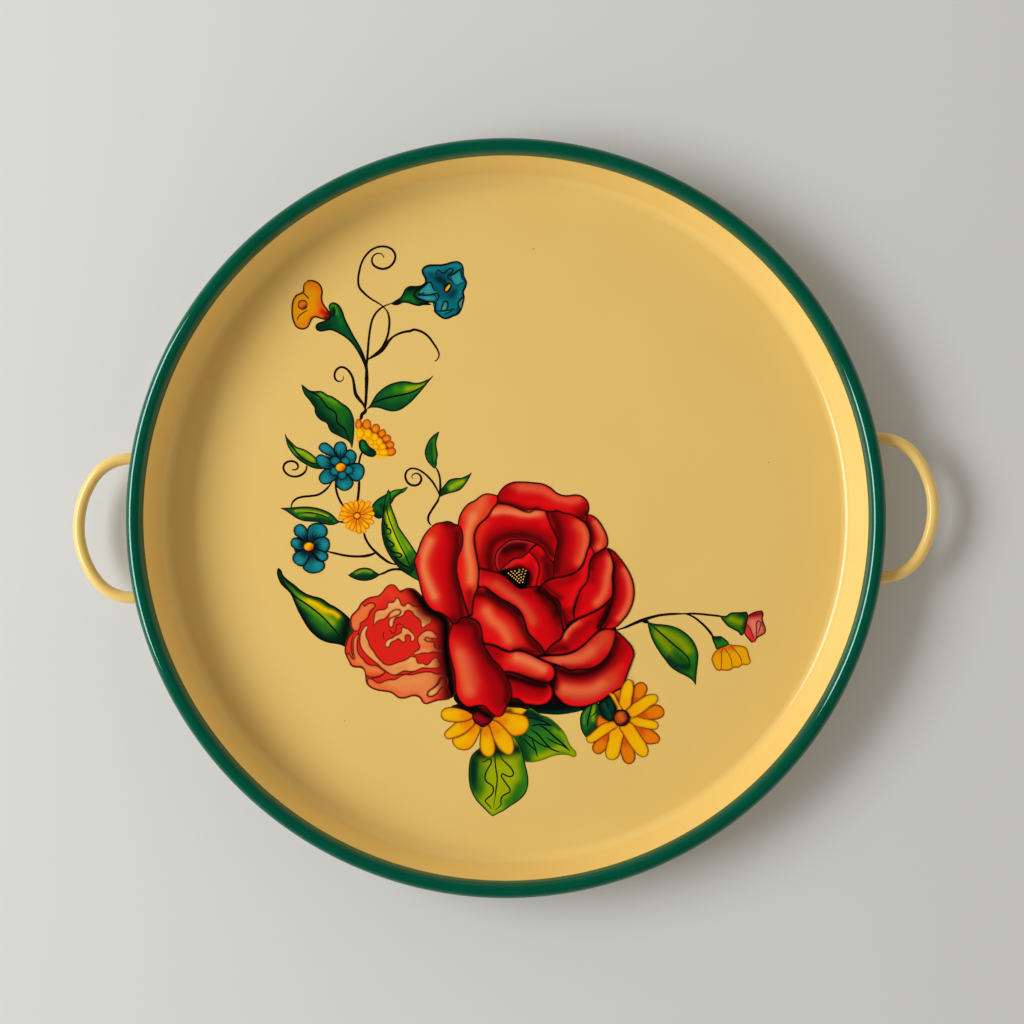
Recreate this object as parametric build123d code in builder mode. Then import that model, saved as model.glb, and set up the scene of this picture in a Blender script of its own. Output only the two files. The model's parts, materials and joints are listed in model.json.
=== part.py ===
from build123d import *
import os
from math import asin, cos, radians, sin, sqrt

# Round enamelled steel serving tray with a wired edge and two rod handles.
# Millimetres. Origin: centre of the underside. +Z up, +X through the right-hand handle.

# Pan: one pressed sheet with a flared wall, its edge curled over a hoop of steel wire.
tray_radius = 210.0  # to the outside of the green edge
tray_height = 30.0
sheet = 0.9  # steel with its enamel on both faces
wall_slope = 73.0  # degrees from the floor, so the wall flares outwards
floor_fillet = 4.2  # inside corner between floor and wall
curl_end = 212.0  # degrees from the outside of the edge, over the top, to the curl's tip

# Edge
band_radius = 4.4  # outside of the green coat on the curl
band_coat = 0.3  # thickness of the green coat
band_stop = 6.0  # degrees of bare curl left below the coat
wire_clearance = 0.1
wire_gap = 0.25  # degrees left open where the hoop's ends meet

# Handles: steel rod bent to a shallow D, each end forged to a flat foot outside the wall.
rod_radius = 3.4
rod_gap = 0.8  # between the rod and the underside of the edge
handle_reach = 241.4  # from the tray's centre to the outside of the rod
handle_half_width = 38.7  # from the handle's middle to each leg's centreline
leg_start = 208.9  # where each straight leg meets the loop
leg_spare = 1.6  # rod left inside its foot, so that nothing shows on the wall's side
corner_turn = radians(55.0)  # turned by each tight corner of the loop
foot_width = 13.0
foot_height = 13.5
foot_thickness = 2.4
foot_corner = 4.0
foot_drop = 3.2  # from the rod's centreline down to the foot's middle

# Welds between each foot and the wall
nugget_radius = 2.2
nugget_height = 0.3
nugget_spacing = 6.4

# Worked out from the above
slope = radians(wall_slope)
curl_outer = band_radius - band_coat
curl_inner = curl_outer - sheet
wire_radius = curl_inner - wire_clearance
curl_x = tray_radius - band_radius
curl_z = tray_height - band_radius
rod_z = curl_z - band_radius - rod_gap - rod_radius
crown_x = handle_reach - rod_radius


def wall_radius(offset, z):
    # Radius, at height z, of the wall's line at this distance inwards from the curl's centre.
    return curl_x - (offset - cos(slope) * (z - curl_z)) / sin(slope)


def on_curl(radius, angle):
    # Point at this radius and angle, in degrees, about the curl's centre.
    return (curl_x + radius * cos(radians(angle)), curl_z + radius * sin(radians(angle)))


# The wall's inner face meets the curl square to itself, and the curl runs on round from there.
wall_top = 90.0 + wall_slope
curl_tip = curl_end - 360.0
curl_middle = (wall_top + curl_tip) / 2
fillet_z = sheet + floor_fillet
fillet_x = wall_radius(curl_outer + floor_fillet, fillet_z)


def on_fillet(radius, angle):
    # Point at this radius about the fillet's centre, at an angle from straight down.
    return (fillet_x + radius * sin(angle), fillet_z - radius * cos(angle))


# The section runs along the underside, up the wall's back, round the curl and back inside.
with BuildPart() as tray_pan:
    with BuildSketch(Plane.XZ):
        with BuildLine():
            Line((0, 0), (fillet_x, 0))
            ThreePointArc(
                (fillet_x, 0),
                on_fillet(floor_fillet + sheet, slope / 2),
                on_fillet(floor_fillet + sheet, slope),
            )
            Line(on_fillet(floor_fillet + sheet, slope), on_curl(curl_inner, wall_top))
            ThreePointArc(
                on_curl(curl_inner, wall_top),
                on_curl(curl_inner, curl_middle),
                on_curl(curl_inner, curl_tip),
            )
            Line(on_curl(curl_inner, curl_tip), on_curl(curl_outer, curl_tip))
            ThreePointArc(
                on_curl(curl_outer, curl_tip),
                on_curl(curl_outer, curl_middle),
                on_curl(curl_outer, wall_top),
            )
            Line(on_curl(curl_outer, wall_top), on_fillet(floor_fillet, slope))
            ThreePointArc(
                on_fillet(floor_fillet, slope),
                on_fillet(floor_fillet, slope / 2),
                (fillet_x, sheet),
            )
            Line((fillet_x, sheet), (0, sheet))
            Line((0, sheet), (0, 0))
        make_face()
    revolve(axis=Axis.Z)
tray_pan.part.label = "tray_pan"

# A hoop of wire inside the curl stiffens the edge; its ends butt together.
with BuildPart() as rim_wire:
    with BuildSketch(Plane.XZ):
        with Locations((curl_x, curl_z)):
            Circle(wire_radius)
    revolve(axis=Axis.Z, revolution_arc=360.0 - wire_gap)
rim_wire.part.label = "rim_wire"

# The green coat follows the curl from the top of the wall over to near the curl's tip.
coat_end = curl_tip + band_stop
coat_middle = (wall_top + coat_end) / 2
with BuildPart() as rim_band:
    with BuildSketch(Plane.XZ):
        with BuildLine():
            ThreePointArc(
                on_curl(band_radius, wall_top),
                on_curl(band_radius, coat_middle),
                on_curl(band_radius, coat_end),
            )
            Line(on_curl(band_radius, coat_end), on_curl(curl_outer, coat_end))
            ThreePointArc(
                on_curl(curl_outer, coat_end),
                on_curl(curl_outer, coat_middle),
                on_curl(curl_outer, wall_top),
            )
            Line(on_curl(curl_outer, wall_top), on_curl(band_radius, wall_top))
        make_face()
    revolve(axis=Axis.Z)
rim_band.part.label = "rim_band"


def foot_plane(side, end):
    # On the wall's outer face behind one rod end, facing away from the wall, with Y up it.
    z = rod_z - foot_drop
    radius = wall_radius(curl_inner, z)
    azimuth = asin(handle_half_width / radius)
    radial = Vector(side * cos(azimuth), end * sin(azimuth), 0)
    up_wall = radial * cos(slope) + Vector(0, 0, sin(slope))
    outwards = radial * sin(slope) - Vector(0, 0, cos(slope))
    return Plane(radial * radius + Vector(0, 0, z), up_wall.cross(outwards), outwards)


# Corner and crown are two tangent arcs; their radii follow from the loop's depth and half width.
loop_depth = crown_x - leg_start
corner_share = cos(corner_turn) + sin(corner_turn) - 1
crown_part = handle_half_width * sin(corner_turn) - loop_depth * (1 - cos(corner_turn))
corner_part = loop_depth * cos(corner_turn) - handle_half_width * (1 - sin(corner_turn))
crown_radius = crown_part / corner_share
corner_radius = corner_part / corner_share
corner_end = (
    leg_start + corner_radius * sin(corner_turn),
    handle_half_width - corner_radius * (1 - cos(corner_turn)),
)
corner_middle = (
    leg_start + corner_radius * sin(corner_turn / 2),
    handle_half_width - corner_radius * (1 - cos(corner_turn / 2)),
)
leg_end = sqrt(wall_radius(curl_inner, rod_z) ** 2 - handle_half_width**2) + leg_spare


def build_handle(side, label):
    # side is +1 for the handle on +X and -1 for the one on -X.
    def at(point, end):
        return (side * point[0], end * point[1])

    leg = (leg_start, handle_half_width)
    tail = (leg_end, handle_half_width)
    with BuildPart() as handle:
        with BuildLine(Plane.XY.offset(rod_z)) as path:
            Line(at(tail, 1), at(leg, 1))
            ThreePointArc(at(leg, 1), at(corner_middle, 1), at(corner_end, 1))
            ThreePointArc(at(corner_end, 1), (side * crown_x, 0), at(corner_end, -1))
            ThreePointArc(at(corner_end, -1), at(corner_middle, -1), at(leg, -1))
            Line(at(leg, -1), at(tail, -1))
        with BuildSketch(path.line ^ 0):
            Circle(rod_radius)
        sweep()
        for end in (1, -1):
            back = foot_plane(side, end).offset(nugget_height)
            with BuildSketch(back):
                RectangleRounded(foot_width, foot_height, foot_corner)
            extrude(amount=foot_thickness)
            # Take off what of the rod's square end comes through its foot.
            with BuildSketch(back):
                Rectangle(foot_width, foot_height)
            extrude(amount=-foot_height, mode=Mode.SUBTRACT)
    handle.part.label = label
    return handle


def build_welds(side, label):
    # Weld nuggets that fill the gap between each foot and the wall's face.
    with BuildPart() as welds:
        for end in (1, -1):
            with BuildSketch(foot_plane(side, end).offset(nugget_height)):
                with GridLocations(nugget_spacing, 0, 2, 1):
                    Circle(nugget_radius)
            extrude(amount=-2 * nugget_height)
        add(tray_pan.part, mode=Mode.SUBTRACT)
    welds.part.label = label
    return welds


handle_right = build_handle(1, "handle_right")
handle_left = build_handle(-1, "handle_left")
handle_right_welds = build_welds(1, "handle_right_welds")
handle_left_welds = build_welds(-1, "handle_left_welds")

print("handle's corner and crown radii:", round(corner_radius, 1), round(crown_radius, 1))
os.makedirs("parts", exist_ok=True)
for piece in (
    tray_pan,
    rim_wire,
    rim_band,
    handle_right,
    handle_left,
    handle_right_welds,
    handle_left_welds,
):
    export_step(piece.part, f"parts/{piece.part.label}.step")
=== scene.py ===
import json
import math

import bmesh
import bpy
import numpy as np
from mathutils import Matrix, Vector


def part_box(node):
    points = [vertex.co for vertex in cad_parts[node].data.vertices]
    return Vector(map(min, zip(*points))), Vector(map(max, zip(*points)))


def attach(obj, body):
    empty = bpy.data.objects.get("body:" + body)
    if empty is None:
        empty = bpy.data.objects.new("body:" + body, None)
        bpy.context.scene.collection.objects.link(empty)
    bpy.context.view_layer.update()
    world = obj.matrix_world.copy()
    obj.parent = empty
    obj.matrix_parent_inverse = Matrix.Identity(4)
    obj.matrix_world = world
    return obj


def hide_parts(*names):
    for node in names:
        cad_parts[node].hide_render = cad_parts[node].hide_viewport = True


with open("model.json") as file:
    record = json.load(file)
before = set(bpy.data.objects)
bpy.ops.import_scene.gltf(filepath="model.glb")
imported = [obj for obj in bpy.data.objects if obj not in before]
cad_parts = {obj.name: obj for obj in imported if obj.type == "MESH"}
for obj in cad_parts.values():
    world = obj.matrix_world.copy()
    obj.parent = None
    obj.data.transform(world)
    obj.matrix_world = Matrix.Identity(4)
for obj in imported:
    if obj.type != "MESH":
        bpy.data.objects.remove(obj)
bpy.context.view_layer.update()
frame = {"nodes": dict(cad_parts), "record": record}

mm = 0.001


# colour and node helpers
def srgb(hexValue):
    return np.array([int(hexValue[i:i + 2], 16) for i in (1, 3, 5)]) / 255.0


def toLinear(value):
    # value/12.92 in the darks, ((value + 0.055)/1.055)^2.4 above them
    value = np.asarray(value, float)
    return np.where(value <= 0.04045, value / 12.92, ((value + 0.055) / 1.055) ** 2.4)


def linear(hexValue):
    return (*toLinear(srgb(hexValue)).tolist(), 1.0)


def addNode(tree, kind, settings=None, links=None):
    # one node: settings name its properties or inputs, links name what feeds each input
    node = tree.nodes.new(kind)
    for name, value in (settings or {}).items():
        if isinstance(name, int) or name in node.inputs:
            node.inputs[name].default_value = value
        else:
            setattr(node, name, value)
    for name, source in (links or {}).items():
        tree.links.new(source, node.inputs[name])
    return node


def newMaterial(name):
    material = bpy.data.materials.new(name)
    material.use_nodes = True
    tree = material.node_tree
    tree.nodes.clear()
    return material, tree


def finishMaterial(tree, shader):
    addNode(tree, "ShaderNodeOutputMaterial", links={"Surface": shader.outputs[0]})


# materials
# Cream vitreous enamel, fired on pressed steel: a warm glassy skin, a little mottled,
# with faint orange peel that breaks up the highlights and a few dark pinholes.
enamelLook = dict(
    cream="#edce7e", honey="#e9c672", speck="#7a4a1c",
    mottle=60.0,  # mm between cloudy patches
    peel=2.2,  # mm between the dimples of the orange peel
    speckGap=26.0,  # mm between pinholes
    speckSize=(0.012, 0.02),  # dark middle and soft edge, as shares of that gap
    relief=0.06, depth=0.2,  # strength of the peel, and its depth in mm
    roughness=0.2,
)


def creamEnamel():
    look = enamelLook
    material, tree = newMaterial("cream_vitreous_enamel")
    where = addNode(tree, "ShaderNodeTexCoord").outputs["Object"]
    cloud = addNode(tree, "ShaderNodeTexNoise",
                    {"Scale": 1 / (look["mottle"] * mm), "Detail": 3.0, "Roughness": 0.5},
                    {"Vector": where})
    tint = addNode(tree, "ShaderNodeMix",
                   {"data_type": "RGBA", 6: linear(look["cream"]), 7: linear(look["honey"])},
                   {0: cloud.outputs["Fac"]})
    cells = addNode(tree, "ShaderNodeTexVoronoi",
                    {"Scale": 1 / (look["speckGap"] * mm), "Randomness": 1.0},
                    {"Vector": where})
    pinhole = addNode(tree, "ShaderNodeMapRange",
                      {"From Min": look["speckSize"][0], "From Max": look["speckSize"][1],
                       "To Min": 0.8, "To Max": 0.0},
                      {"Value": cells.outputs["Distance"]})
    colour = addNode(tree, "ShaderNodeMix",
                     {"data_type": "RGBA", 7: linear(look["speck"])},
                     {0: pinhole.outputs[0], 6: tint.outputs[2]})
    dimples = addNode(tree, "ShaderNodeTexNoise",
                      {"Scale": 1 / (look["peel"] * mm), "Detail": 2.0}, {"Vector": where})
    bump = addNode(tree, "ShaderNodeBump",
                   {"Strength": look["relief"], "Distance": look["depth"] * mm},
                   {"Height": dimples.outputs["Fac"]})
    shader = addNode(tree, "ShaderNodeBsdfPrincipled",
                     {"Roughness": look["roughness"], "IOR": 1.5},
                     {"Base Color": colour.outputs[2], "Normal": bump.outputs[0]})
    finishMaterial(tree, shader)
    return material


# Green enamel brushed thickly on the rolled edge: deep bottle green, wet gloss, a little
# uneven where the brush lapped, with tiny chips showing cream.
greenLook = dict(
    green="#005c45", dark="#004534", chip="#b9a878", shine="#d4fcff",
    lap=18.0,  # mm between the brush's laps
    peel=3.0, relief=0.05, depth=0.2,  # mm between ripples, their strength and depth in mm
    chipGap=70.0, chipSize=(0.011, 0.016),  # mm between chips, and their share of that gap
    roughness=0.06, gloss=0.75,
)


def greenEnamel():
    look = greenLook
    material, tree = newMaterial("green_brushed_enamel")
    where = addNode(tree, "ShaderNodeTexCoord").outputs["Object"]
    laps = addNode(tree, "ShaderNodeTexNoise",
                   {"Scale": 1 / (look["lap"] * mm), "Detail": 4.0, "Roughness": 0.6},
                   {"Vector": where})
    tint = addNode(tree, "ShaderNodeMix",
                   {"data_type": "RGBA", 6: linear(look["dark"]), 7: linear(look["green"])},
                   {0: laps.outputs["Fac"]})
    cells = addNode(tree, "ShaderNodeTexVoronoi",
                    {"Scale": 1 / (look["chipGap"] * mm), "Randomness": 1.0}, {"Vector": where})
    chips = addNode(tree, "ShaderNodeMapRange",
                    {"From Min": look["chipSize"][0], "From Max": look["chipSize"][1],
                     "To Min": 0.85, "To Max": 0.0},
                    {"Value": cells.outputs["Distance"]})
    colour = addNode(tree, "ShaderNodeMix",
                     {"data_type": "RGBA", 7: linear(look["chip"])},
                     {0: chips.outputs[0], 6: tint.outputs[2]})
    ripple = addNode(tree, "ShaderNodeTexNoise",
                     {"Scale": 1 / (look["peel"] * mm), "Detail": 2.0}, {"Vector": where})
    bump = addNode(tree, "ShaderNodeBump",
                   {"Strength": look["relief"], "Distance": look["depth"] * mm},
                   {"Height": ripple.outputs["Fac"]})
    shader = addNode(tree, "ShaderNodeBsdfPrincipled",
                     {"Roughness": look["roughness"], "IOR": 1.5,
                      "Specular IOR Level": look["gloss"], "Specular Tint": linear(look["shine"])},
                     {"Base Color": colour.outputs[2], "Normal": bump.outputs[0]})
    finishMaterial(tree, shader)
    return material


# Oil paint under clear lacquer: the brush's own colours from the mesh, a soft gloss, and a
# fine grain of brush hairs in the relief.
lacquerLook = dict(
    hair=1.6,  # mm between brush marks, drawn coarser than real hairs so that they show
    streak=(0.94, 1.06),  # how far the marks darken and lighten the paint
    relief=0.1, depth=0.15, roughness=0.4, gloss=0.08,
)


def lacqueredPaint():
    look = lacquerLook
    material, tree = newMaterial("lacquered_oil_paint")
    where = addNode(tree, "ShaderNodeTexCoord").outputs["Object"]
    brushed = addNode(tree, "ShaderNodeVertexColor", {"layer_name": "paint"})
    hairs = addNode(tree, "ShaderNodeTexNoise",
                    {"Scale": 1 / (look["hair"] * mm), "Detail": 3.0, "Roughness": 0.6},
                    {"Vector": where})
    shade = addNode(tree, "ShaderNodeMapRange",
                    {"To Min": look["streak"][0], "To Max": look["streak"][1]},
                    {"Value": hairs.outputs["Fac"]})
    colour = addNode(tree, "ShaderNodeHueSaturation", {},
                     {"Value": shade.outputs[0], "Color": brushed.outputs["Color"]})
    bump = addNode(tree, "ShaderNodeBump",
                   {"Strength": look["relief"], "Distance": look["depth"] * mm},
                   {"Height": hairs.outputs["Fac"]})
    shader = addNode(tree, "ShaderNodeBsdfPrincipled",
                     {"Roughness": look["roughness"], "IOR": 1.4,
                      "Specular IOR Level": look["gloss"]},
                     {"Base Color": colour.outputs[0], "Normal": bump.outputs[0]})
    finishMaterial(tree, shader)
    return material


# Drawn mild steel wire and weld metal: grey, satin, faintly marked by the drawing die.
steelLook = dict(dull="#7d7c78", bright="#a3a29d", marks=0.8, roughness=0.45)  # marks in mm


def drawnSteel():
    look = steelLook
    material, tree = newMaterial("drawn_mild_steel")
    where = addNode(tree, "ShaderNodeTexCoord").outputs["Object"]
    marks = addNode(tree, "ShaderNodeTexNoise",
                    {"Scale": 1 / (look["marks"] * mm), "Detail": 4.0}, {"Vector": where})
    colour = addNode(tree, "ShaderNodeMix",
                     {"data_type": "RGBA", 6: linear(look["dull"]), 7: linear(look["bright"])},
                     {0: marks.outputs["Fac"]})
    shader = addNode(tree, "ShaderNodeBsdfPrincipled",
                     {"Metallic": 1.0, "Roughness": look["roughness"]},
                     {"Base Color": colour.outputs[2]})
    finishMaterial(tree, shader)
    return material


cream, green, lacquer, steel = creamEnamel(), greenEnamel(), lacqueredPaint(), drawnSteel()
print("materials ready")


# meshes
def makePiece(name, points, faces, material, colours=None, merge=0.0):
    # points in mm, faces as lists of corner numbers, colours one sRGB row for each point
    mesh = bpy.data.meshes.new(name)
    mesh.from_pydata((np.asarray(points) * mm).tolist(), [], faces)
    if colours is not None:
        layer = mesh.color_attributes.new("paint", "FLOAT_COLOR", "POINT")
        rgba = np.ones((len(points), 4), np.float32)
        rgba[:, :3] = toLinear(colours)
        layer.data.foreach_set("color", rgba.ravel())
    if merge:
        work = bmesh.new()
        work.from_mesh(mesh)
        bmesh.ops.remove_doubles(work, verts=work.verts, dist=merge * mm)
        bmesh.ops.dissolve_degenerate(work, edges=work.edges, dist=merge * mm)
        work.to_mesh(mesh)
        work.free()
    mesh.shade_smooth()
    mesh.materials.append(material)
    piece = bpy.data.objects.new(name, mesh)
    bpy.context.collection.objects.link(piece)
    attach(piece, "root")
    return piece


def gridFaces(rows, columns, wrapRows=False, wrapColumns=False, start=0):
    # quads of a rows by columns grid of points numbered row by row, closed round if it wraps
    i, j = np.meshgrid(np.arange(rows if wrapRows else rows - 1),
                       np.arange(columns if wrapColumns else columns - 1), indexing="ij")
    nextRow, nextColumn = (i + 1) % rows, (j + 1) % columns
    corners = (i * columns + j, i * columns + nextColumn,
               nextRow * columns + nextColumn, nextRow * columns + j)
    return np.stack([c.ravel() for c in corners], axis=1) + start


def arc(centre, radius, first, last, count):
    # points at even angles, in degrees, about the centre
    angle = np.radians(np.linspace(first, last, count))
    return np.column_stack([centre[0] + radius * np.cos(angle), centre[1] + radius * np.sin(angle)])


def turned(profile, segments):
    # profile (radius, height) carried round the axis
    angle = np.linspace(0, 2 * math.pi, segments, endpoint=False)[:, None]
    radius = profile[None, :, 0]
    x, y = radius * np.cos(angle), radius * np.sin(angle)
    z = np.broadcast_to(profile[None, :, 1], x.shape)
    return np.stack([x, y, z], axis=-1).reshape(-1, 3)


# the pressed pan, its green edge and its handles, on the sizes that the frame gives
rimLow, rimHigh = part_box("rim_band")
gripLow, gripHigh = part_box("handle_right")
floorMount = next(m for m in frame["record"]["mounts"] if m["name"] == "serving_floor")
tray = dict(
    radius=rimHigh.y / mm, height=rimHigh.z / mm, sheet=floorMount["pos_m"][2] / mm,
    bead=4.4,  # radius of the green edge
    coat=0.3, slope=73.0, fillet=6.4,
    tip=-148.0,  # angle where the curl ends, from the outside
    bareTip=6.0,  # degrees of curl left uncoated
    lap=3.0,  # how far the green runs down the wall
    sink=0.05,  # how far the coat's underside lies in the enamel
    lip=0.35,  # how far the sheet's cut edge rounds out, in steps of the curl
    segments=360, curlSteps=60,
)
curlCentre = (tray["radius"] - tray["bead"], tray["height"] - tray["bead"])
curlOuter = tray["bead"] - tray["coat"]
curlInner = curlOuter - tray["sheet"]
wallTop = 90.0 + tray["slope"]
slope = math.radians(tray["slope"])


def wallRadius(offset, z):
    # radius at height z of the wall's line at this distance inwards from the curl's centre
    drop = math.cos(slope) * (z - curlCentre[1])
    return curlCentre[0] - (offset - drop) / math.sin(slope)


def panProfile():
    # underside out to the fillet, up the wall's back, round the curl and back over the floor
    fillet, sheet = tray["fillet"], tray["sheet"]
    centre = (wallRadius(curlOuter + fillet, sheet + fillet), sheet + fillet)
    back = arc(centre, fillet + sheet, -90, -90 + tray["slope"], 12)
    front = arc(centre, fillet, -90 + tray["slope"], -90, 16)
    inside = arc(curlCentre, curlInner, wallTop, tray["tip"], tray["curlSteps"])
    outside = arc(curlCentre, curlOuter, tray["tip"], wallTop, tray["curlSteps"])
    lip = (inside[-1] + outside[0]) / 2 + tray["lip"] * (inside[-1] - inside[-2])
    return np.vstack([[(0, 0)], back, inside, [lip], outside, front, [(0, sheet)]])


def makePan():
    profile = panProfile()
    faces = gridFaces(tray["segments"], len(profile), wrapRows=True)
    piece = makePiece("tray_pan_enamelled", turned(profile, tray["segments"]), faces.tolist(),
                      cream, merge=0.001)
    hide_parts("tray_pan")
    return piece


def makeBand():
    # the coat's section: round the curl, and down the wall to a lip rounded over in five points,
    # each a share of the lap down the wall and a depth over it
    end = tray["tip"] + tray["bareTip"]
    lipPoints = ((1.0, -tray["sink"]), (1.0, 0.1), (0.97, 0.22), (0.9, 0.29), (0.5, tray["coat"]))
    across = arc((0, 0), 1.0, wallTop, wallTop, 1)
    down = arc((0, 0), 1.0, wallTop + 90, wallTop + 90, 1)
    lap = [curlCentre + across * (curlOuter + depth) + down * tray["lap"] * share
           for share, depth in lipPoints]
    outer = arc(curlCentre, tray["bead"], wallTop, end + 2.0, 64)
    inner = arc(curlCentre, curlOuter - tray["sink"], end, wallTop, 24)
    profile = np.vstack(lap + [outer, inner])
    faces = gridFaces(tray["segments"], len(profile), wrapRows=True, wrapColumns=True)
    piece = makePiece("rim_band_enamelled", turned(profile, tray["segments"]), faces.tolist(),
                      green)
    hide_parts("rim_band")
    return piece


grip = dict(
    rod=3.4, drop=3.2,  # rod radius, and how far each foot's middle lies below it
    halfWidth=38.7, legStart=208.9, turn=55.0,
    intoWall=1.6,  # how far the rod's end runs into its foot
    around=28,  # points round the rod
    foot=(13.0, 13.5, 2.4),  # width along the wall, height up it, thickness
    footGrid=(11, 48),  # points through its thickness and round it
    rounding=0.18,  # share of its size that the foot loses at each face
    gap=0.3, voxel=0.55, blend=14,  # off the wall, grain of the remesh, rounds of smoothing
)
rodHeight = gripHigh.z / mm - grip["rod"]


def gripPath():
    # half the loop from its crown to the leg's inner end: two tangent arcs and a straight
    crown = gripHigh.x / mm - grip["rod"]
    depth, half, turn = crown - grip["legStart"], grip["halfWidth"], math.radians(grip["turn"])
    share = math.cos(turn) + math.sin(turn) - 1
    big = (half * math.sin(turn) - depth * (1 - math.cos(turn))) / share
    small = (depth * math.cos(turn) - half * (1 - math.sin(turn))) / share
    legEnd = math.sqrt(wallRadius(curlInner, rodHeight) ** 2 - half ** 2) + grip["intoWall"]
    top = arc((crown - big, 0), big, 0, 90 - grip["turn"], 40)
    corner = arc((grip["legStart"], half - small), small, 90 - grip["turn"], 90, 24)
    leg = np.column_stack([np.linspace(grip["legStart"], legEnd, 10), np.full(10, half)])
    return np.vstack([top, corner[1:], leg[1:]])


def rodTube(path, radius, around):
    # a circle carried along a level path: sideways along the path's normal, and upwards
    step = np.gradient(path, axis=0)
    step /= np.linalg.norm(step, axis=1)[:, None]
    angle = np.linspace(0, 2 * math.pi, around, endpoint=False)[None, :]
    x = path[:, :1] + radius * np.cos(angle) * step[:, 1:]
    y = path[:, 1:] - radius * np.cos(angle) * step[:, :1]
    z = rodHeight + radius * np.sin(angle) + 0 * x
    return np.stack([x, y, z], axis=-1).reshape(-1, 3)


def footSlab(end):
    # a rounded slab: a superellipse outline shrunk towards both faces, laid on the wall's cone
    width, height, thick = grip["foot"]
    z = rodHeight - grip["drop"]
    radius = wallRadius(curlInner, z)
    azimuth = end * math.asin(grip["halfWidth"] / radius)
    radial = np.array([math.cos(azimuth), math.sin(azimuth), 0])
    upWall = radial * math.cos(slope) + np.array([0, 0, math.sin(slope)])
    outwards = radial * math.sin(slope) - np.array([0, 0, math.cos(slope)])
    along = np.cross(upWall, outwards)
    layers, around = grip["footGrid"]
    layer = np.linspace(-1, 1, layers)[:, None]
    angle = np.linspace(0, 2 * math.pi, around, endpoint=False)[None, :]
    shrink = 1 - grip["rounding"] * (1 - (1 - np.abs(layer) ** 6) ** (1 / 3))
    cosine, sine = np.cos(angle), np.sin(angle)
    a = np.sign(cosine) * np.abs(cosine) ** 0.6 * width / 2 * shrink
    b = np.sign(sine) * np.abs(sine) ** 0.6 * height / 2 * shrink
    c = grip["gap"] + (layer + 1) / 2 * thick + 0 * a
    spread = [part[..., None] * axis for part, axis in ((a, along), (b, upWall), (c, outwards))]
    points = sum(spread) + radial * radius + np.array([0, 0, z])
    return points.reshape(-1, 3)


def makeHandle(side, name, node):
    # rod and feet joined, then melted together by a fine remesh so that the enamel flows round
    half = gripPath()
    path = np.vstack([half[::-1], half[1:] * (1, -1)]) * (side, 1)
    around = grip["around"]
    layers, ring = grip["footGrid"]
    points, faces = [rodTube(path, grip["rod"], around)], []
    faces += gridFaces(len(path), around, wrapColumns=True).tolist()
    faces += [list(range(around)), list(range((len(path) - 1) * around, len(path) * around))]
    for end in (1, -1):
        start = sum(len(p) for p in points)
        slab = footSlab(end) * (side, 1, 1)
        faces += gridFaces(layers, ring, wrapColumns=True, start=start).tolist()
        last = start + (layers - 1) * ring
        faces += [list(range(start, start + ring)), list(range(last, last + ring))]
        points.append(slab)
    piece = makePiece(name, np.vstack(points), faces, cream)
    work = bmesh.new()
    work.from_mesh(piece.data)
    bmesh.ops.recalc_face_normals(work, faces=work.faces)
    work.to_mesh(piece.data)
    work.free()
    melt = piece.modifiers.new("melt", "REMESH")
    melt.mode, melt.voxel_size, melt.use_smooth_shade = "VOXEL", grip["voxel"] * mm, True
    soften = piece.modifiers.new("soften", "CORRECTIVE_SMOOTH")
    soften.use_only_smooth, soften.iterations, soften.factor = True, grip["blend"], 0.5
    shaped = bpy.data.meshes.new_from_object(
        piece.evaluated_get(bpy.context.evaluated_depsgraph_get()))
    piece.modifiers.clear()
    piece.data = shaped
    shaped.shade_smooth()
    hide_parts(node)
    return piece


makePan()
makeBand()
makeHandle(1, "handle_right_enamelled", "handle_right")
makeHandle(-1, "handle_left_enamelled", "handle_left")
for node in ("rim_wire", "handle_left_welds", "handle_right_welds"):
    frame["nodes"][node].data.materials.clear()
    frame["nodes"][node].data.materials.append(steel)
print("pan, edge and handles ready")


# painting: every petal, leaf and line is a thin skin of paint laid on the enamel
paintLook = dict(
    grain=0.74,  # mm between the colour samples of a skin
    step=0.4,  # mm between the points along a skin's edge
    fewest=6, most=(160, 120),  # points along and across a skin
    bevel=0.14,  # mm that a skin's edge slopes out on its way down
    under=0.01,  # mm that its underside lies over the enamel
    dome=0.014,  # mm that its middle swells
    layer=0.02,  # mm between one skin and the next
    ink=0.012,  # mm that a line stands over its skin's edge
    pen=1.5,  # how far the brush spreads a line beyond its drawn width
    pieces=16,  # straight steps in each cubic piece of a curve
)
floorTop = tray["sheet"]


def xy(*values):
    # points from their x and y in turn, in mm from the tray's middle
    return list(zip(values[::2], values[1::2]))


def lengthAlong(curve):
    # distance along a curve from its start to each of its points
    return np.concatenate([[0], np.cumsum(np.linalg.norm(np.diff(curve, axis=0), axis=1))])


def evenly(curve, count):
    # the same curve in count even steps along its length
    along = lengthAlong(curve)
    at = np.linspace(0, along[-1], count)
    return np.column_stack([np.interp(at, along, curve[:, k]) for k in (0, 1)])


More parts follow.
